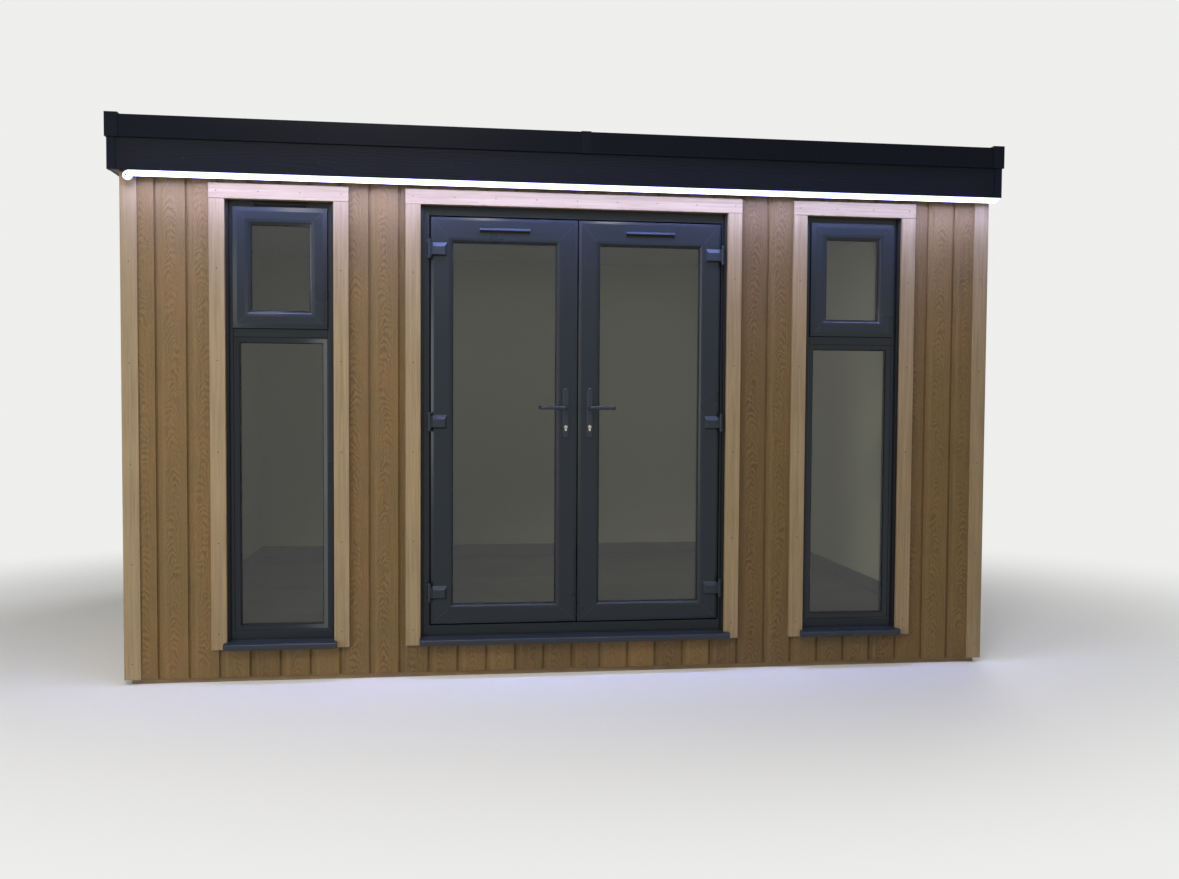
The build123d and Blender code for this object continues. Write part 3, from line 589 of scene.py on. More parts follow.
mesh = bmesh.new()
low, high = nodeBox("floor_boards")
width, length = plankLook["width"] / mm, plankLook["length"] / mm
for row in range(math.floor(low.y / width), math.ceil(high.y / width)):
    shift = (row * plankLook["shift"]) % 1
    for number in range(math.floor(low.x / length), math.ceil(high.x / length) + 1):
        x0, x1 = max(low.x, (number - shift) * length), min(high.x, (number + 1 - shift) * length)
        y0, y1 = max(low.y, row * width), min(high.y, (row + 1) * width)
        if x1 - x0 > 1 and y1 - y0 > 1:
            addBlock(mesh, (x0, y0, low.z), (x1, y1, high.z), plankLook["edge"])
finishPiece(mesh, "floor_planks", [laminate], "pod", ["floor_boards"])

skirtingLook = {"thickness": 15, "slope": 9, "top": 9}
mesh = bmesh.new()
low, high = nodeBox("skirting")
look = skirtingLook
t, tall = look["thickness"], high.z - low.z
section = [(0, 0), (t, 0), (t, tall - look["slope"]), (look["top"], tall), (0, tall)]
for side in (-1, 1):
    addPrism(mesh, [(side * (high.x - a), low.z + b) for a, b in section], low.y, high.y - t, "y")
addPrism(mesh, [(high.y - a, low.z + b) for a, b in section], low.x, high.x, "x")
finishPiece(mesh, "skirting_boards", [coats["skirtingPaint"]], "pod", ["skirting"])
print("room made")


# cladding: one composite board after another round the walls

boardPitch = boardLook["pitch"] / mm
boardProfile = [  # how far across a board from its groove, and how deep under the face
    (0, 9.5), (11, 9.5), (11, 4.2), (12.2, 3.2), (17, 3.8), (22, 4.9), (27, 5.3), (31, 4.6), (35, 3.0),
    (39, 1.3), (43, 0.3), (48, 0), (boardPitch - 2.4, 0), (boardPitch - 0.8, 0.7), (boardPitch, 2.4)]


def dropAt(x):
    for (x0, drop0), (x1, drop1) in zip(boardProfile, boardProfile[1:]):
        if x0 < x1 and x <= x1:
            return drop0 + (drop1 - drop0) * (x - x0) / (x1 - x0)
    return boardProfile[-1][1]


def boardSection(groove, start, end, thickness):
    # what two cuts leave of a board's section
    face = [(start, dropAt(start - groove))]
    face += [(groove + x, drop) for x, drop in boardProfile if start < groove + x < end]
    face.append((end, dropAt(end - groove)))
    return [(start, 0), (end, 0)] + [(x, thickness - drop) for x, drop in reversed(face)]


def boardRuns(start, end, openings, bottom, top):
    # the lengths that a board is cut into where it meets an opening
    for left, right, sill, head in openings:
        if start < right and end > left:
            runs = [(start, end, bottom, sill), (start, end, head, top)]
            if start < left:
                runs.append((start, left, sill, head))
            if end > right:
                runs.append((right, end, sill, head))
            return runs
    return [(start, end, bottom, top)]


def cladWall(side, finish, place, start, end, openings=()):
    mesh = bmesh.new()
    low, high = nodeBox(f"{side}_cladding")
    groove = boardLook["firstGroove"] / mm
    while groove > start:
        groove -= boardPitch
    while groove < end:
        left, right = max(start, groove), min(end, groove + boardPitch)
        for a, b, bottom, top in boardRuns(left, right, openings, low.z, high.z):
            if top - bottom > 1 and b - a > 1:
                section = boardSection(groove, a, b, skinThickness)
                addPrism(mesh, [place(*point) for point in section], bottom, top, "z")
        groove += boardPitch
    finishPiece(mesh, f"{side}_boards", [finish], "pod", [f"{side}_cladding"])


surroundLook = {"width": 71, "edge": 1.6, "joint": 0.8, "boardsUnder": 163, "jambScrews": 430,
                "headScrews": 210, "screwInset": 34, "firstScrew": 75, "screwCount": 5}
frontLow, frontHigh = nodeBox("front_cladding")
sideLow, sideHigh = nodeBox("right_cladding")
wallY, wallX = -frontHigh.y, sideLow.x
skinThickness = frontHigh.y - frontLow.y
openings = {}
for name in ("left_window", "door", "right_window"):
    low, high = nodeBox(f"{name}_surround")
    w = surroundLook["width"]
    openings[name] = (low.x + w, high.x - w, surroundLook["boardsUnder"], high.z - w)
cladWall("front", boardsUpright, lambda a, out: (a, -wallY - out), frontLow.x, frontHigh.x, openings.values())
cladWall("back", boardsUpright, lambda a, out: (a, wallY + out), frontLow.x, frontHigh.x)
for side, name in ((-1, "left"), (1, "right")):
    cladWall(name, boardsSide, lambda a, out, s=side: (s * (wallX + out), a), sideLow.y, sideHigh.y)
print("boards made")


# tan trims: corners and the surrounds of the openings, screwed on

cornerLook = {"width": 76, "thickness": 8, "edge": 1.6, "round": 3, "screwPitch": 470, "firstScrew": 75,
              "screwCount": 5}
mesh = bmesh.new()
screws = bmesh.new()
low, high = nodeBox("corner_trims")
look = cornerLook
w, t, e, r = look["width"], look["thickness"], look["edge"], look["round"]
x, y = high.x, high.y
section = [(x - w, y - t), (x - w, y - e), (x - w + e, y), (x - r, y), (x - r / 3, y - r / 3), (x, y - r),
           (x, y - w + e), (x - e, y - w), (x - t, y - w), (x - t, y - t)]
for sx in (-1, 1):
    for sy in (-1, 1):
        addPrism(mesh, [(sx * a, sy * b) for a, b in section], low.z, high.z, "z")
        for i in range(look["screwCount"]):
            z = low.z + look["firstScrew"] + i * look["screwPitch"]
            addScrew(screws, (sx * (x - w / 2), sy * y, z), (0, sy, 0))
            addScrew(screws, (sx * x, sy * (y - w / 2), z), (sx, 0, 0))
finishPiece(mesh, "corner_trim_boards", [trimUpright], "pod", ["corner_trims"])

look = surroundLook
w, e, inset = look["width"], look["edge"], look["screwInset"]
for name in ("door", "left_window", "right_window"):
    mesh = bmesh.new()
    low, high = nodeBox(f"{name}_surround")
    head = high.z - w
    for x0 in (low.x, high.x - w):
        section = [(x0, high.y), (x0, low.y + e), (x0 + e, low.y), (x0 + w - e, low.y), (x0 + w, low.y + e),
                   (x0 + w, high.y)]
        addPrism(mesh, section, low.z, head - look["joint"], "z")
        for i in range(look["screwCount"]):
            z = low.z + look["firstScrew"] + i * look["jambScrews"]
            addScrew(screws, (x0 + w / 2, low.y, z), (0, -1, 0))
    section = [(high.y, head), (low.y + e, head), (low.y, head + e), (low.y, high.z - e), (low.y + e, high.z),
               (high.y, high.z)]
    addPrism(mesh, section, low.x, high.x, "x", material=1)
    span = high.x - low.x - 2 * inset
    count = max(2, round(span / look["headScrews"]))
    for i in range(count + 1):
        addScrew(screws, (low.x + inset + span * i / count, low.y, head + w / 2), (0, -1, 0))
    finishPiece(mesh, f"{name}_surround_boards", [trimUpright, trimLevel], "pod",
                [f"{name}_surround"])
finishPiece(screws, "trim_screws", [coats["screwHead"]], "pod")
print("trims made")


# sills with rounded noses and end caps

sillLook = {"nose": 3.0, "noseHeight": 26, "cap": 3.0, "drip": 4, "dripWidth": 14, "fall": 10,
            "wallFace": -1512.0, "frameFace": -1472.0}
look = sillLook
n, tall, drip, cap = look["nose"], look["noseHeight"], look["drip"], look["cap"]
face, back = look["wallFace"], look["frameFace"]
for name, frameNode in (("door", "door_threshold"), ("left_window", "left_window_frame"),
                        ("right_window", "right_window_frame")):
    mesh = bmesh.new()
    low, high = nodeBox(f"{name}_sill")
    front, foot = low.y, low.z
    top = high.z - look["fall"] * (back - face) / (back - front)
    under, brow = front + look["dripWidth"], foot + tall
    nose = [(face, foot + drip), (under, foot + drip), (under, foot), (front + n, foot), (front, foot + n),
            (front, brow - 1.5 * n), (front + 1.2, brow - 0.5 * n), (front + 1.4 * n, brow + 1), (face, top)]
    addPrism(mesh, nose, low.x + cap, high.x - cap, "x")
    inWall = [(face, foot + drip), (back, foot + drip), (back, high.z), (face, top)]
    addPrism(mesh, inWall, *openings[name][:2], "x")
    capSection = [(front, foot), (face, foot), (face, top + 0.6), (front + 1, brow + 1.2), (front, brow - 1)]
    for x in (low.x, high.x - cap):
        addPrism(mesh, capSection, x, x + cap, "x", edge=0.6)
    frameLow, frameHigh = nodeBox(frameNode)
    addBlock(mesh, (frameLow.x, back, foot), (frameHigh.x, high.y, high.z), 1.0)
    finishPiece(mesh, f"{name}_sill_board", [coats["sillCoatLit"]], "pod", [f"{name}_sill"])
print("sills made")


# door frame, windows and their glazing seals

profiles = {  # steps inwards and outwards from a ring's outer edge; the first three end on its flat
    "doorFrameFront": [(1.0, 1.6), (1.2, 0.4), (41.0, 0), (1.2, -0.4), (1.0, -1.6), (1.6, -2.0)],
    "doorFrameBack": [(1.0, 1.6), (1.2, 0.4), (42.6, 0), (1.2, -0.4), (1.0, -1.6)],
    "doorStop": [(0.8, 0.8), (12.4, 0), (0.8, -0.8)],
    "leafFront": [(0.9, 1.8), (13.0, 6.2), (1.1, 0.5), (70.0, 0), (1.0, -0.4), (9.0, -3.9), (0.8, -0.6),
                  (5.6, -5.2), (1.6, -1.4)],
    "leafBack": [(1.0, 1.6), (1.2, 0.4), (75.8, 0), (0.6, -1.2), (0.6, 1.2), (2.2, 0), (1.2, -0.4),
                 (18.4, -8.6), (2.0, -3.0)],
    "windowFrame": [(1.0, 1.6), (1.2, 0.4), (37.6, 0), (1.2, -0.4), (1.0, -1.6)],
    "fixedLight": [(4.5, 0), (0.8, -0.3), (17.2, -8.4), (2.0, -0.8)],
    "sashFront": [(0.9, 1.8), (20.0, 6.7), (1.1, 0.5), (35.0, 0), (1.0, -0.4), (12.0, -4.2), (1.0, -0.8),
                  (8.0, -5.8), (2.0, -0.8)],
    "sashBack": [(1.0, 1.6), (1.2, 0.4), (53.0, 0), (0.6, -1.2), (0.6, 1.2), (2.2, 0), (1.2, -0.4),
                 (19.2, -8.6), (2.0, -3.0)],
}
gasketLook = {"width": 3.6, "proud": 1.2, "depth": 2}
weldLook = {"width": 1.6, "proud": 0.15}
leafCoats = [coats["anthraciteFrame"], coats["weldSeam"]]
# the outer frames wear the darker coat, partly painted shade
frameCoats = [coats["outerFrameShaded"], coats["weldSeam"]]


def addGasket(mesh, x0, x1, z0, z1, glassFront, glassBack):
    look = gasketLook
    steps = [(0.6, 0.8), (look["width"] - 1.4, 0.2), (0.8, -1.0)]
    for near, far in ((glassFront - look["proud"], glassFront + look["depth"]),
                      (glassBack - look["depth"], glassBack + look["proud"])):
        addRing(mesh, (x0, near, z0), (x1, far, z1), steps, steps)


def addWelds(mesh, low, high, first, last, extra=None):
    # the thin weld across the flat at each of the four mitres of a ring
    wider = extra or {"bottom": 0, "top": 0}
    for sx, x in ((1, low.x), (-1, high.x)):
        for sz, z, more in ((1, low.z, wider["bottom"]), (-1, high.z, wider["top"])):
            across, up = last - first, last + more - first
            half = Vector((math.hypot(across, up) / 2, weldLook["proud"], weldLook["width"] / 2))
            part = newBox(-half, half)
            turn = Matrix.Rotation(-math.atan2(sz * up, sx * across), 4, "Y")
            place = Matrix.Translation((x + sx * (first + across / 2), low.y, z + sz * (first + up / 2)))
            bmesh.ops.transform(part, matrix=place @ turn, verts=part.verts)
            addTo(mesh, part, 1)


# door frame in one mitred ring, wider at its head and threshold, with a stop all round its opening
doorFrameLook = {"wider": {"reach": 20, "top": 13, "bottom": 5}, "weld": (2.2, 43.2), "stopLap": 14,
                 "stopFront": -1421.2, "stopInset": 0.8}
mesh = bmesh.new()
look = doorFrameLook
headLow, headHigh = nodeBox("door_frame_head")
stepLow, stepHigh = nodeBox("door_threshold")
low, high = Vector((headLow.x, headLow.y, stepLow.z)), headHigh
openLow = Vector((nodeBox("door_frame_left")[1].x, look["stopFront"], stepHigh.z))
openHigh = Vector((nodeBox("door_frame_right")[0].x, high.y - look["stopInset"], headLow.z))
lap = Vector((look["stopLap"], 0, look["stopLap"]))
addFacedRing(mesh, low, high, profiles["doorFrameFront"], profiles["doorFrameBack"], look["wider"])
addRing(mesh, openLow - lap, openHigh + lap, profiles["doorStop"], profiles["doorStop"])
addWelds(mesh, low, high, *look["weld"], look["wider"])
finishPiece(mesh, "door_frame_profile", frameCoats, "pod",
            ["door_frame_left", "door_frame_right", "door_frame_head", "door_threshold"])

# windows: a frame with a transom, a fixed light under it and a top-hung sash over it
windowLook = {"frame": 42, "transomBase": 1640, "transomTop": 1680, "transomEdge": 1.5, "lightSetBack": 6,
              "bead": 24.5, "sash": 81, "frameWeld": (2.2, 39.8), "sashWeld": (22, 57), "glassFront": -1451,
              "sashGlassFront": -1474, "glass": 28}
look = windowLook
w, base, back = look["frame"], look["transomBase"], look["lightSetBack"]
for name in ("left", "right"):
    low, high = nodeBox(f"{name}_window_frame")
    mesh = bmesh.new()
    addFacedRing(mesh, low, high, profiles["windowFrame"], profiles["windowFrame"])
    addBlock(mesh, (low.x + w, low.y, base), (high.x - w, high.y, look["transomTop"]), look["transomEdge"])
    addRing(mesh, (low.x + w, low.y + back, low.z + w), (high.x - w, high.y - back, base),
            profiles["fixedLight"], profiles["fixedLight"])
    addWelds(mesh, low, high, *look["frameWeld"])
    finishPiece(mesh, f"{name}_window_profile", frameCoats, "pod", [f"{name}_window_frame"])

    sashLow, sashHigh = nodeBox(f"{name}_window_sash")
    mesh = bmesh.new()
    addFacedRing(mesh, sashLow, sashHigh, profiles["sashFront"], profiles["sashBack"])
    addWelds(mesh, sashLow, sashHigh, *look["sashWeld"])
    finishPiece(mesh, f"{name}_sash_profile", leafCoats, "pod", [f"{name}_window_sash"])

    mesh = bmesh.new()
    inset, bite = w + look["bead"], look["sash"]
    addGasket(mesh, low.x + inset, high.x - inset, low.z + inset, base - look["bead"], look["glassFront"],
              look["glassFront"] + look["glass"])
    addGasket(mesh, sashLow.x + bite, sashHigh.x - bite, sashLow.z + bite, sashHigh.z - bite,
              look["sashGlassFront"], look["sashGlassFront"] + look["glass"])
    finishPiece(mesh, f"{name}_window_gaskets", [coats["blackGasket"]], "pod")

# near-black strips down the jambs, between the frames and the surrounds
jambStripLook = {"width": 13, "front": -1490, "back": -1472, "foot": 199, "edge": 0.8}
mesh = bmesh.new()
look = jambStripLook
w = look["width"]
for left, right, _, head in openings.values():
    for x0 in (left, right - w):
        addBlock(mesh, (x0, look["front"], look["foot"]), (x0 + w, look["back"], head), look["edge"])
finishPiece(mesh, "jamb_black_strips", [coats["blackGasket"]], "pod")


# hooded vents: a sloping hood over a dark slot, whose near-black block also stands for the hood's shadow
# under it as painted shade

ventLook = {"hood": 11.5, "slope": 8.0, "lip": 1.5, "slot": 12.5, "slotBack": 2.0, "end": 2.0, "edge": 0.5}


def addVent(node, name, body):
    look = ventLook
    mesh = bmesh.new()
    low, high = nodeBox(node)
    x0, x1, top, face, out = low.x, high.x, high.z, high.y, low.y
    brow, under, slot = top - look["slope"], top - look["hood"], top - look["hood"] - look["slot"]
    lip = under - look["lip"]
    hood = [(face + 1, top), (face - 1.5, top), (out + 1.2, brow), (out, brow - 1.5), (out, lip + 1),
            (out + 1, lip), (out + 2.2, lip), (out + 2.2, under), (face + 1, under)]
    addPrism(mesh, hood, x0 + look["end"], x1 - look["end"], "x")
    cheek = [(face + 1, top), (face - 2, top), (out, brow - 1), (out, lip - 1), (face - 4, slot),
             (face + 1, slot)]
    for x in (x0, x1 - look["end"]):
        addPrism(mesh, cheek, x, x + look["end"], "x", look["edge"])
    # the slot's dark block is partly the vent's mesh and partly painted shade of the hood's shadow
    addBlock(mesh, (x0 + look["end"], face - look["slotBack"], slot), (x1 - look["end"], face + 1, under),
             look["edge"], material=1)
    finishPiece(mesh, name, [coats["ventHood"], coats["darkMeshAndPaintedShade"]], body, [node])


addVent("left_window_vent", "left_window_hood", "pod")
print("frames made")


# door leaves with their vents, hinges and furniture

leafLook = {"wider": {"reach": 50, "top": 14, "bottom": -12}, "weld": (15, 85), "glass": (-1474.0, -1446.0),
            "glassSide": 103, "glassFoot": 91, "glassHead": 117}
hingeLook = {"pitch": 829, "axisOut": 7, "axisFront": 10, "plateThickness": 14, "height": 66, "reach": 84,
             "clear": 14, "topSlope": 20, "lowerSlope": 7, "endSlope": 10, "nearSlope": 4, "edge": 1.4,
             "arm": 27, "armInset": 3, "armEdge": 1.5, "knuckle": 8, "middle": 29, "gap": 0.6, "end": 44,
             "finial": 4, "finialRadius": 5.5, "finialTip": 3.0, "bracket": 12, "bracketBack": 18}
handleLook = {"height": 1313.0, "plateEdge": 2.8, "screwInset": 16, "collar": 11.5, "collarDepth": 3,
              "rose": 13.0, "roseDepth": 0.5, "neck": 8.5, "gripDepth": 12, "taper": 9, "bend": 13,
              "endBend": 9, "endReturn": 5, "reach": 127, "standoff": 37, "spindle": 8}
lockLook = {"height": 1219.0, "barrel": 8.5, "foot": 10, "ring": 7.0, "plug": 6.5, "slot": (1.1, 0.9, 4.6)}


def addHingePlate(mesh, hingeX, side, z, face):
    # a thick cover plate with sloping sides, and the arm that joins it to the knuckle
    look = hingeLook
    near, far = hingeX - side * look["clear"], hingeX - side * look["reach"]
    front = face - look["plateThickness"]
    part = newBox((near, front, z - look["height"] / 2), (far, face, z + look["height"] / 2))
    for v in part.verts:
        if abs(v.co.y - front) < 0.1:
            v.co.z += -look["topSlope"] if v.co.z > z else look["lowerSlope"]
            v.co.x += side * look["endSlope"] if abs(v.co.x - far) < 0.1 else -side * look["nearSlope"]
    bevelEdges(part, sharpEdges(part, 20), look["edge"], 2)
    addTo(mesh, part)
    addBlock(mesh, (hingeX, front + look["armInset"], z - look["arm"]),
             (near - side * look["nearSlope"], face, z + look["arm"]), look["armEdge"])


def vertsOf(ring):
    # each corner once, in the order of the edges
    return list(dict.fromkeys(v for e in ring for v in e.verts))


def turnRing(part, ring, centre, angle, steps):
    made = bmesh.ops.spin(part, geom=ring + vertsOf(ring), cent=centre, axis=(0, 0, 1), steps=steps,
                          angle=math.radians(angle), use_duplicate=False)["geom_last"]
    return only(BMEdge, made)


def pullRing(part, ring, pull):
    made = bmesh.ops.extrude_edge_only(part, edges=ring)["geom"]
    bmesh.ops.translate(part, vec=pull, verts=only(BMVert, made))
    return only(BMEdge, made)


def addLever(mesh, x, z, side, face, out):
    # a round neck that bends into a flatter grip, whose end returns to the door
    look = handleLook
    part = bmesh.new()
    gripY, bend, endBend = face + out * look["standoff"], look["bend"], look["endBend"]
    place = Matrix.Translation((x, face, z)) @ Matrix.Rotation(math.radians(90), 4, "X")
    bmesh.ops.create_circle(part, cap_ends=False, segments=20, radius=look["neck"], matrix=place)
    ring = part.edges[:]
    bmesh.ops.edgeloop_fill(part, edges=ring)
    ring = pullRing(part, ring, (0, out * (look["standoff"] - bend), 0))
    turn = -out * side * 90
    ring = turnRing(part, ring, (x + side * bend, gripY - out * bend, z), turn, 7)
    ring = pullRing(part, ring, (side * look["taper"], 0, 0))
    slim = Matrix.Diagonal((1, look["gripDepth"] / 2 / look["neck"], 1, 1))
    there = Matrix.Translation((0, gripY, 0))
    bmesh.ops.transform(part, matrix=there @ slim @ there.inverted(), verts=vertsOf(ring))
    bendX = look["reach"] - look["gripDepth"] / 2 - endBend
    ring = pullRing(part, ring, (side * (bendX - bend - look["taper"]), 0, 0))
    ring = turnRing(part, ring, (x + side * bendX, gripY - out * endBend, z), turn, 6)
    ring = pullRing(part, ring, (0, -out * look["endReturn"], 0))
    end = bmesh.ops.edgeloop_fill(part, edges=ring)["faces"]
    bmesh.ops.inset_region(part, faces=end, thickness=2.0, depth=1.4, use_even_offset=True)
    addTo(mesh, part)
    front = face + out * look["collarDepth"]
    addRod(mesh, (x, face, z), (x, front, z), look["collar"], edge=0.8, segments=32)


for side, name in ((-1, "left"), (1, "right")):
    body = f"{name}_door_leaf"
    low, high = nodeBox(f"{name}_leaf_frame")
    mesh = bmesh.new()
    look = leafLook
    addFacedRing(mesh, low, high, profiles["leafFront"], profiles["leafBack"], look["wider"])
    addWelds(mesh, low, high, *look["weld"], look["wider"])
    finishPiece(mesh, f"{name}_leaf_profile", leafCoats, body, [f"{name}_leaf_frame"])

    mesh = bmesh.new()
    addGasket(mesh, low.x + look["glassSide"], high.x - look["glassSide"], low.z + look["glassFoot"],
              high.z - look["glassHead"], *look["glass"])
    finishPiece(mesh, f"{name}_leaf_gaskets", [coats["blackGasket"]], body)

    addVent(f"{name}_leaf_vent", f"{name}_leaf_hood", body)

    mesh = bmesh.new()
    pins = bmesh.new()
    look = hingeLook
    x, y = (low.x if side < 0 else high.x) + side * look["axisOut"], low.y - look["axisFront"]
    r, middle, end = look["knuckle"], look["middle"], look["end"]
    for step in (-1, 0, 1):
        z = (low.z + high.z) / 2 + step * look["pitch"]
        addHingePlate(mesh, x, side, z, low.y)
        addRod(mesh, (x, y, z - middle), (x, y, z + middle), r, edge=1.0, segments=28)
        for way in (-1, 1):
            near, far = z + way * (middle + look["gap"]), z + way * end
            tip = (x, y, far + way * look["finial"])
            outer = (x + side * look["bracket"], low.y + look["bracketBack"], far - way)
            addRod(pins, (x, y, near), (x, y, far), r, edge=1.0, segments=28)
            addRod(pins, (x, y, far), tip, look["finialRadius"], look["finialTip"], edge=0.8, segments=20)
            addBlock(pins, (x, y, near + way), outer, look["armEdge"], 2)
    finishPiece(mesh, f"{name}_leaf_hinge_plates", [coats["hingeCoat"]], body,
                [f"{name}_leaf_hinges"])
    finishPiece(pins, f"{name}_frame_hinge_knuckles", [coats["hingeCoat"]], "pod",
                ["frame_hinges"] if side < 0 else [])

    look = handleLook
    plateLow, plateHigh = nodeBox(f"{name}_handle_plates")
    x, y, plateZ = (plateLow + plateHigh) / 2
    z, size = look["height"], plateHigh - plateLow
    mesh = bmesh.new()
    for face, plate in ((low.y, plateLow.y), (high.y, plateHigh.y)):
        out = 1 if plate > face else -1
        front = plate + out * look["roseDepth"]
        addSlotPlate(mesh, (x, face, plateZ), size.x, size.z, plate - face, look["plateEdge"])
        addRod(mesh, (x, plate, z), (x, front, z), look["rose"], edge=0.3, segments=32)
    for screwZ in (plateLow.z + look["screwInset"], plateHigh.z - look["screwInset"]):
        addScrew(mesh, (x, plateHigh.y, screwZ), (0, 1, 0), 3.6, 0.8)
    finishPiece(mesh, f"{name}_handle_backplates", [coats["handleCoat"]], body,
                [f"{name}_handle_plates"])

    mesh = bmesh.new()
    addLever(mesh, x, z, side, plateLow.y - 0.6, -1)
    addLever(mesh, x, z, side, plateHigh.y + 0.6, 1)
    half = look["spindle"] / 2
    addBlock(mesh, (x - half, plateLow.y - 4, z - half), (x + half, plateHigh.y + 4, z + half), 0.5)
    finishPiece(mesh, f"{name}_lever_handle", [coats["handleCoat"]], f"{name}_handle",
                [f"{name}_lever"])

    mesh = bmesh.new()
    look = lockLook
    z, (a, b, c) = look["height"], look["slot"]
    lockLow, lockHigh = nodeBox(f"{name}_lock_cylinder")
    footTop = z + 4
    footZ, footHeight = (lockLow.z + footTop) / 2, footTop - lockLow.z
    for start, end, out in ((plateLow.y + 2, lockLow.y, -1), (plateHigh.y - 2, lockHigh.y, 1)):
        addRod(mesh, (x, start, z), (x, end, z), look["barrel"], edge=0.5, segments=32)
        addSlotPlate(mesh, (x, start, footZ), look["foot"], footHeight, end - start, 0.5)
        addRod(mesh, (x, end - out, z), (x, end + out * 0.15, z), look["ring"], segments=32, material=1)
        addRod(mesh, (x, end - out, z), (x, end + out * 0.8, z), look["plug"], edge=0.4, segments=32)
        # the keyway is a near-black block on the plug's face, painted shade where the keyhole is
        addBlock(mesh, (x - a, end - b, z - c), (x + a, end + b, z + c), 0.2, material=1)
    finishPiece(mesh, f"{name}_lock_barrel", [coats["lockNickel"], coats["darkMeshAndPaintedShade"]], body,
                [f"{name}_lock_cylinder"])
print("leaves made")


# roof edge: fascia boards, edge trims, corner caps, joint cover and the light strip

fasciaShape = {"thickness": 18, "edge": 2}
roofLook = {"drip": 1.5, "round": 3.0, "lap": 60, "sheet": 10, "skin": 8, "screwPitch": 610, "screwEnd": 150,
            "trimScrew": 22, "fasciaScrew": 60}
fasciaLow, fasciaHigh = nodeBox("fascia_boards")
trimLow, trimHigh = nodeBox("roof_edge_trims")
capHigh = nodeBox("roof_trim_covers")[1]
mesh = bmesh.new()
t, e, top, foot = fasciaShape["thickness"], fasciaShape["edge"], fasciaHigh.z, fasciaLow.z
addRim(mesh, fasciaHigh.x, fasciaHigh.y,
       [(-t, top), (0, top), (0, foot + e), (-0.3 * e, foot + 0.3 * e), (-e, foot), (-t, foot)])
finishPiece(mesh, "fascia_ring", [fasciaBoards], "pod", ["fascia_boards"])

mesh = bmesh.new()
screws = bmesh.new()
look = roofLook
r, drip, lap, skin, top, foot = look["round"], look["drip"], look["lap"], look["skin"], trimHigh.z, trimLow.z
addRim(mesh, trimHigh.x, trimHigh.y,
       [(0, foot + drip), (0, top - r), (-0.3 * r, top - 0.3 * r), (-r, top), (1 - lap, top), (-lap, top - 1),
        (-lap, top - look["sheet"]), (-skin, top - look["sheet"]), (-skin, foot), (-drip, foot)])
finishPiece(mesh, "roof_edge_profile", [coats["fasciaCoat"]], "pod", ["roof_edge_trims"])
for half, out, alongX in ((trimHigh.x, trimHigh.y, True), (trimHigh.y, trimHigh.x, False)):
    count = math.floor(2 * (half - look["screwEnd"]) / look["screwPitch"])
    for i in range(count + 1):
        at = (i - count / 2) * look["screwPitch"]
        for side in (-1, 1):
            for face, z in ((out, foot + look["trimScrew"]), (out - skin, fasciaLow.z + look["fasciaScrew"])):
                spot, facing = (at, side * face, z), (0, side, 0)
                if not alongX:
                    spot, facing = (side * face, at, z), (side, 0, 0)
                addScrew(screws, spot, facing, 3.0, 0.6)
finishPiece(screws, "roof_edge_screws", [coats["darkScrew"]], "pod")

capLook = {"width": 58, "edge": 1.2, "sheet": 2, "angle": 38, "angleOut": 3, "angleIn": 0.2,
           "cover": (12, 60), "coverLap": 60, "coverTop": 2.3, "coverIn": 0.3}
mesh = bmesh.new()
look = capLook
w, out, inside = look["width"], look["angleOut"], look["angleIn"]
fx, fy = fasciaHigh.x, fasciaHigh.y
far, mid = out - look["angle"], out / 2
angle = [(fx + out, fy + far), (fx + out, fy + mid), (fx + mid, fy + out), (fx + far, fy + out),
         (fx + far, fy + inside), (fx + inside, fy + inside), (fx + inside, fy + far)]
for sx in (-1, 1):
    for sy in (-1, 1):
        # the cap: a folded box open underneath and on its inner sides
        shell = newBox((sx * capHigh.x, sy * capHigh.y, foot),
                       (sx * (capHigh.x - w), sy * (capHigh.y - w), capHigh.z))
        shell.normal_update()
        inner = [f for f in shell.faces if min(f.normal.z, f.normal.x * sx, f.normal.y * sy) < -0.9]
        bmesh.ops.delete(shell, geom=inner, context="FACES_ONLY")
        bevelEdges(shell, [e for e in shell.edges if len(e.link_faces) == 2], look["edge"], 2)
        bmesh.ops.recalc_face_normals(shell, faces=shell.faces)
        shell.normal_update()
        if max(shell.faces, key=lambda f: f.calc_center_median().z).normal.z < 0:
            bmesh.ops.reverse_faces(shell, faces=shell.faces)
        bmesh.ops.solidify(shell, geom=shell.faces[:], thickness=look["sheet"])
        addTo(mesh, shell)
        # the angle down the corner of the fascia
        addPrism(mesh, [(sx * a, sy * b) for a, b in angle], fasciaLow.z, foot - 1, "z")
front, back, high = -capHigh.y, look["coverLap"] - trimHigh.y, top + look["coverTop"]
inY, inZ = -trimHigh.y - look["coverIn"], top + look["coverIn"]
cover = [(front, foot), (front, high - 1.3), (front + 1.3, high), (back, high), (back, inZ), (inY, inZ),
         (inY, foot)]
addPrism(mesh, cover, *look["cover"], "x")
finishPiece(mesh, "roof_corner_caps", [coats["capCoat"]], "pod", ["roof_trim_covers"])

# lap seams of the membrane
seamLook = {"places": (-720, 720), "width": 45, "inset": 34, "sunk": 0.5, "proud": 1.6, "edge": 0.8}
mesh = bmesh.new()
low, high = nodeBox("roof_membrane")
look = seamLook
for x in look["places"]:
    addBlock(mesh, (x, low.y + look["inset"], high.z - look["sunk"]),
             (x + look["width"], high.y - look["inset"], high.z + look["proud"]), look["edge"])
finishPiece(mesh, "membrane_seams", [coats["roofMembrane"]], "pod")
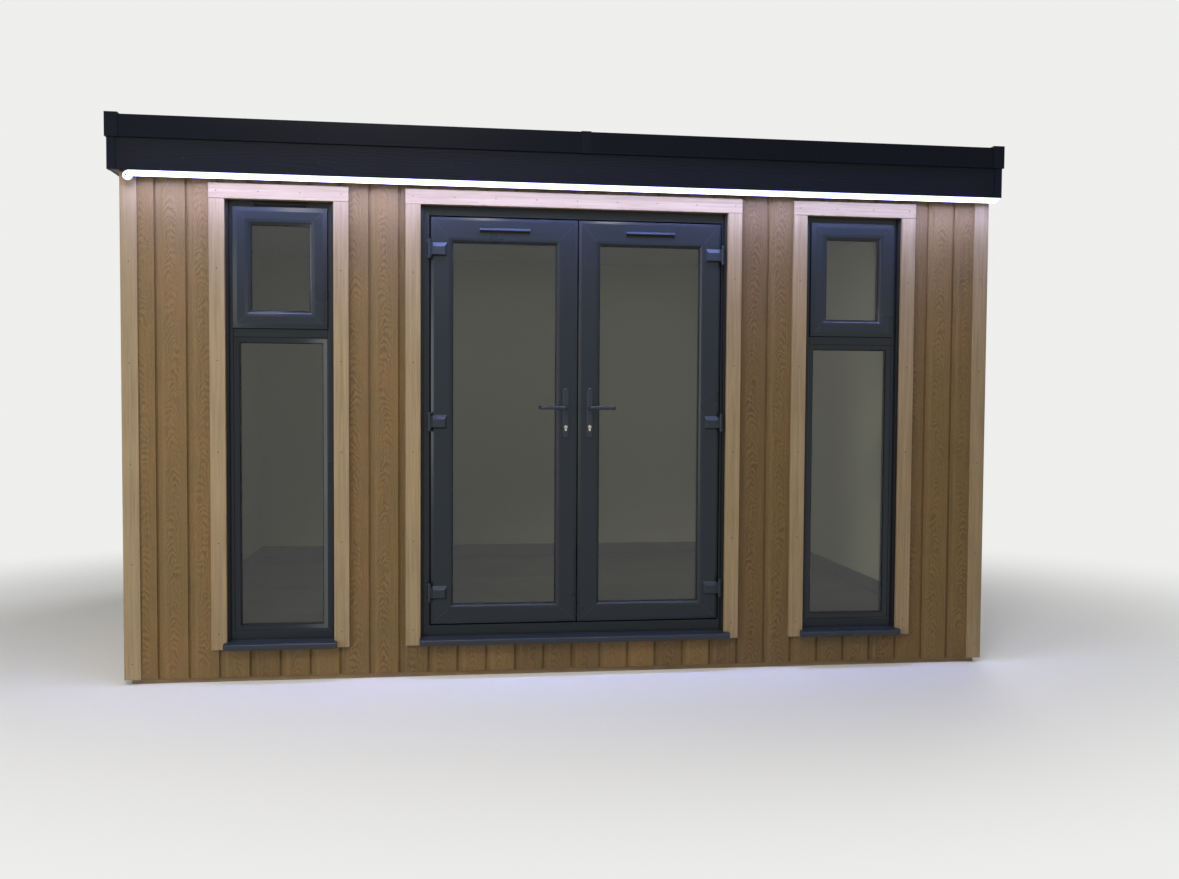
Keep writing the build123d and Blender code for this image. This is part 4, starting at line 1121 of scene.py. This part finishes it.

# the light strip: a rounded tube with an end fitting on the left, its hole a dark disc of painted shade, and
# a mitred right end
stripLook = {"height": 25, "round": 7, "bevel": 2, "lip": 3, "fitting": 22, "fittingDrop": 2,
             "fittingEdge": 4, "hole": 4.2, "holeShift": 6}
low, high = nodeBox("led_strip")
look = stripLook
base, r, start, lip = high.z - look["height"], look["round"], low.x + look["fitting"], look["lip"]
eased = r * 0.29  # how far a quarter round's middle lies in from its corner
section = [(high.y, base + lip), (high.y, high.z), (low.y, high.z), (low.y, base + r),
           (low.y + eased, base + eased), (low.y + r, base), (high.y - lip, base)]
tube = bmesh.new()
corners = [tube.verts.new((start, y, z)) for y, z in section]
pullOut(tube, [tube.faces.new(corners)], (high.x - start, 0, 0))
bevelEdges(tube, [e for e in edgesAlong(tube, "x") if e.verts[0].co.y < high.y - 1], look["bevel"], 2)
for v in tube.verts:
    if v.co.x > high.x - 1:
        v.co.x -= high.z - v.co.z
bmesh.ops.recalc_face_normals(tube, faces=tube.faces)
for face in tube.faces:
    out, down = -face.normal.y, -face.normal.z
    face.material_index = 3 if max(out, down) < 0.5 else 2 if down > 0.9 else 0 if out > 0.9 else 1
mesh = bmesh.new()
addTo(mesh, tube)
finishPiece(mesh, "light_tube", litTube + [coats["stripHousing"]], "pod", ["led_strip"])
mesh = bmesh.new()
z, holeX = high.z - look["fittingDrop"] - look["fitting"], start - look["holeShift"]
addRod(mesh, (start, high.y, z), (start, low.y, z), look["fitting"], edge=look["fittingEdge"], segments=36)
# the fitting's hole is a near-black disc standing just proud, painted shade
addRod(mesh, (holeX, low.y + 3, z), (holeX, low.y - 0.3, z), look["hole"], segments=20, material=1)
finishPiece(mesh, "light_end_fitting", [endGlow, coats["darkMeshAndPaintedShade"]], "pod")
print("roof edge made")


# floor, world, lamps and camera

stageLook = {"floor": tone(233, 233, 231), "radius": 60, "backdrop": (0.86, 0.86, 0.85, 1.0),
             "sky": (0.93, 0.96, 1.0, 1.0), "skyStrength": 0.35, "fade": (2.0, 4.2), "broad": 1.4}

scene = bpy.context.scene
look = stageLook
floorMesh = bmesh.new()
bmesh.ops.create_circle(floorMesh, cap_ends=True, segments=64, radius=look["radius"])
floorData = bpy.data.meshes.new("studio_floor")
floorMesh.to_mesh(floorData)
floorMesh.free()
floor = bpy.data.objects.new("studio_floor", floorData)
scene.collection.objects.link(floor)
material, f = newFinish("studioFloor")
x, y, _ = f.axes(f.place())
distance = ((x / look["broad"]) ** 2.0 + y * y) ** 0.5
matt = f.shader("BsdfDiffuse", {"Color": look["floor"]})
glow = f.shader("Emission", {"Color": look["backdrop"], "Strength": 1.0})
far = distance.between(*look["fade"]) * f.showsBackdrop()
f.end(f.shader("MixShader", {0: far, 1: matt, 2: glow}))
floorData.materials.append(material)

world = bpy.data.worlds.new("studioWorld")
scene.world = world
world.use_nodes = True
f = Finish(world.node_tree)
lit = f.shader("Background", {"Color": look["sky"], "Strength": look["skyStrength"]})
seen = f.shader("Background", {"Color": look["backdrop"], "Strength": 1.0})
f.end(f.shader("MixShader", {0: f.showsBackdrop(), 1: lit, 2: seen}))

white = (1.0, 1.0, 1.0)
lamps = {  # place, target, size, power, colour and spread in degrees
    "keyLamp": ((-6.34, -5.73, 1.9), (-0.2, -1.5, 1.3), (3.0, 3.2), 200, white, 180),
    "frontLamp": ((-1.4, -6.2, 5.2), (-0.7, -1.5, 1.0), (1.6, 1.2), 44, (1.0, 0.93, 0.82), 90),
    "skyLamp": ((-0.6, -4.0, 7.5), (-0.3, -1.5, 1.0), (7.0, 3.5), 60, white, 180),
    "fillLamp": ((5.0, -8.0, 3.6), (0.4, -1.0, 1.0), (4.0, 3.0), 6, white, 180),
    "stripWash": ((0.03, -1.61, 2.385), (0.03, -1.52, 2.2), (4.25, 0.03), 16, (0.37, 0.43, 1.0), 120),
    "stripHaze": ((0.03, -1.8, 2.72), (0.03, -1.52, 2.12), (4.25, 0.03), 9, (0.2, 0.27, 1.0), 62),
    "roomLamp": ((0.0, 0.1, 2.34), (0.0, 0.1, 0.0), (3.0, 1.8), 3, white, 180),
    "backLamp": ((5.5, 7.5, 5.0), (0.5, 0.5, 1.2), (5.0, 3.0), 400, white, 180),
}
for name, (place, target, size, power, colour, spread) in lamps.items():
    data = bpy.data.lights.new(name, "AREA")
    data.shape = "RECTANGLE"
    data.size, data.size_y = size
    data.energy = power
    data.color = colour
    data.spread = math.radians(spread)
    lamp = bpy.data.objects.new(name, data)
    lamp.location = place
    lamp.rotation_euler = (Vector(target) - Vector(place)).to_track_quat("-Z", "Y").to_euler()
    lamp.visible_camera = False
    if name == "roomLamp":
        lamp.visible_glossy = lamp.visible_transmission = False
    scene.collection.objects.link(lamp)

view = {"place": (-0.6113, -6.6705, 1.3523), "turn": -7.4766, "tilt": -2.1368, "roll": -0.3450,
        "lens": 32.427, "sensor": 36}
cameraData = bpy.data.cameras.new("camera")
cameraData.sensor_fit = "HORIZONTAL"
cameraData.sensor_width = view["sensor"]
cameraData.lens = view["lens"]
camera = bpy.data.objects.new("camera", cameraData)
turned = Matrix.Translation(view["place"])
for angle, axis in ((view["turn"], "Z"), (view["tilt"], "X"), (view["roll"], "Y"), (90, "X")):
    turned = turned @ Matrix.Rotation(math.radians(angle), 4, axis)
camera.matrix_world = turned
scene.collection.objects.link(camera)
scene.camera = camera
scene.view_settings.view_transform = "Standard"
print("stage made")

bpy.context.view_layer.update()
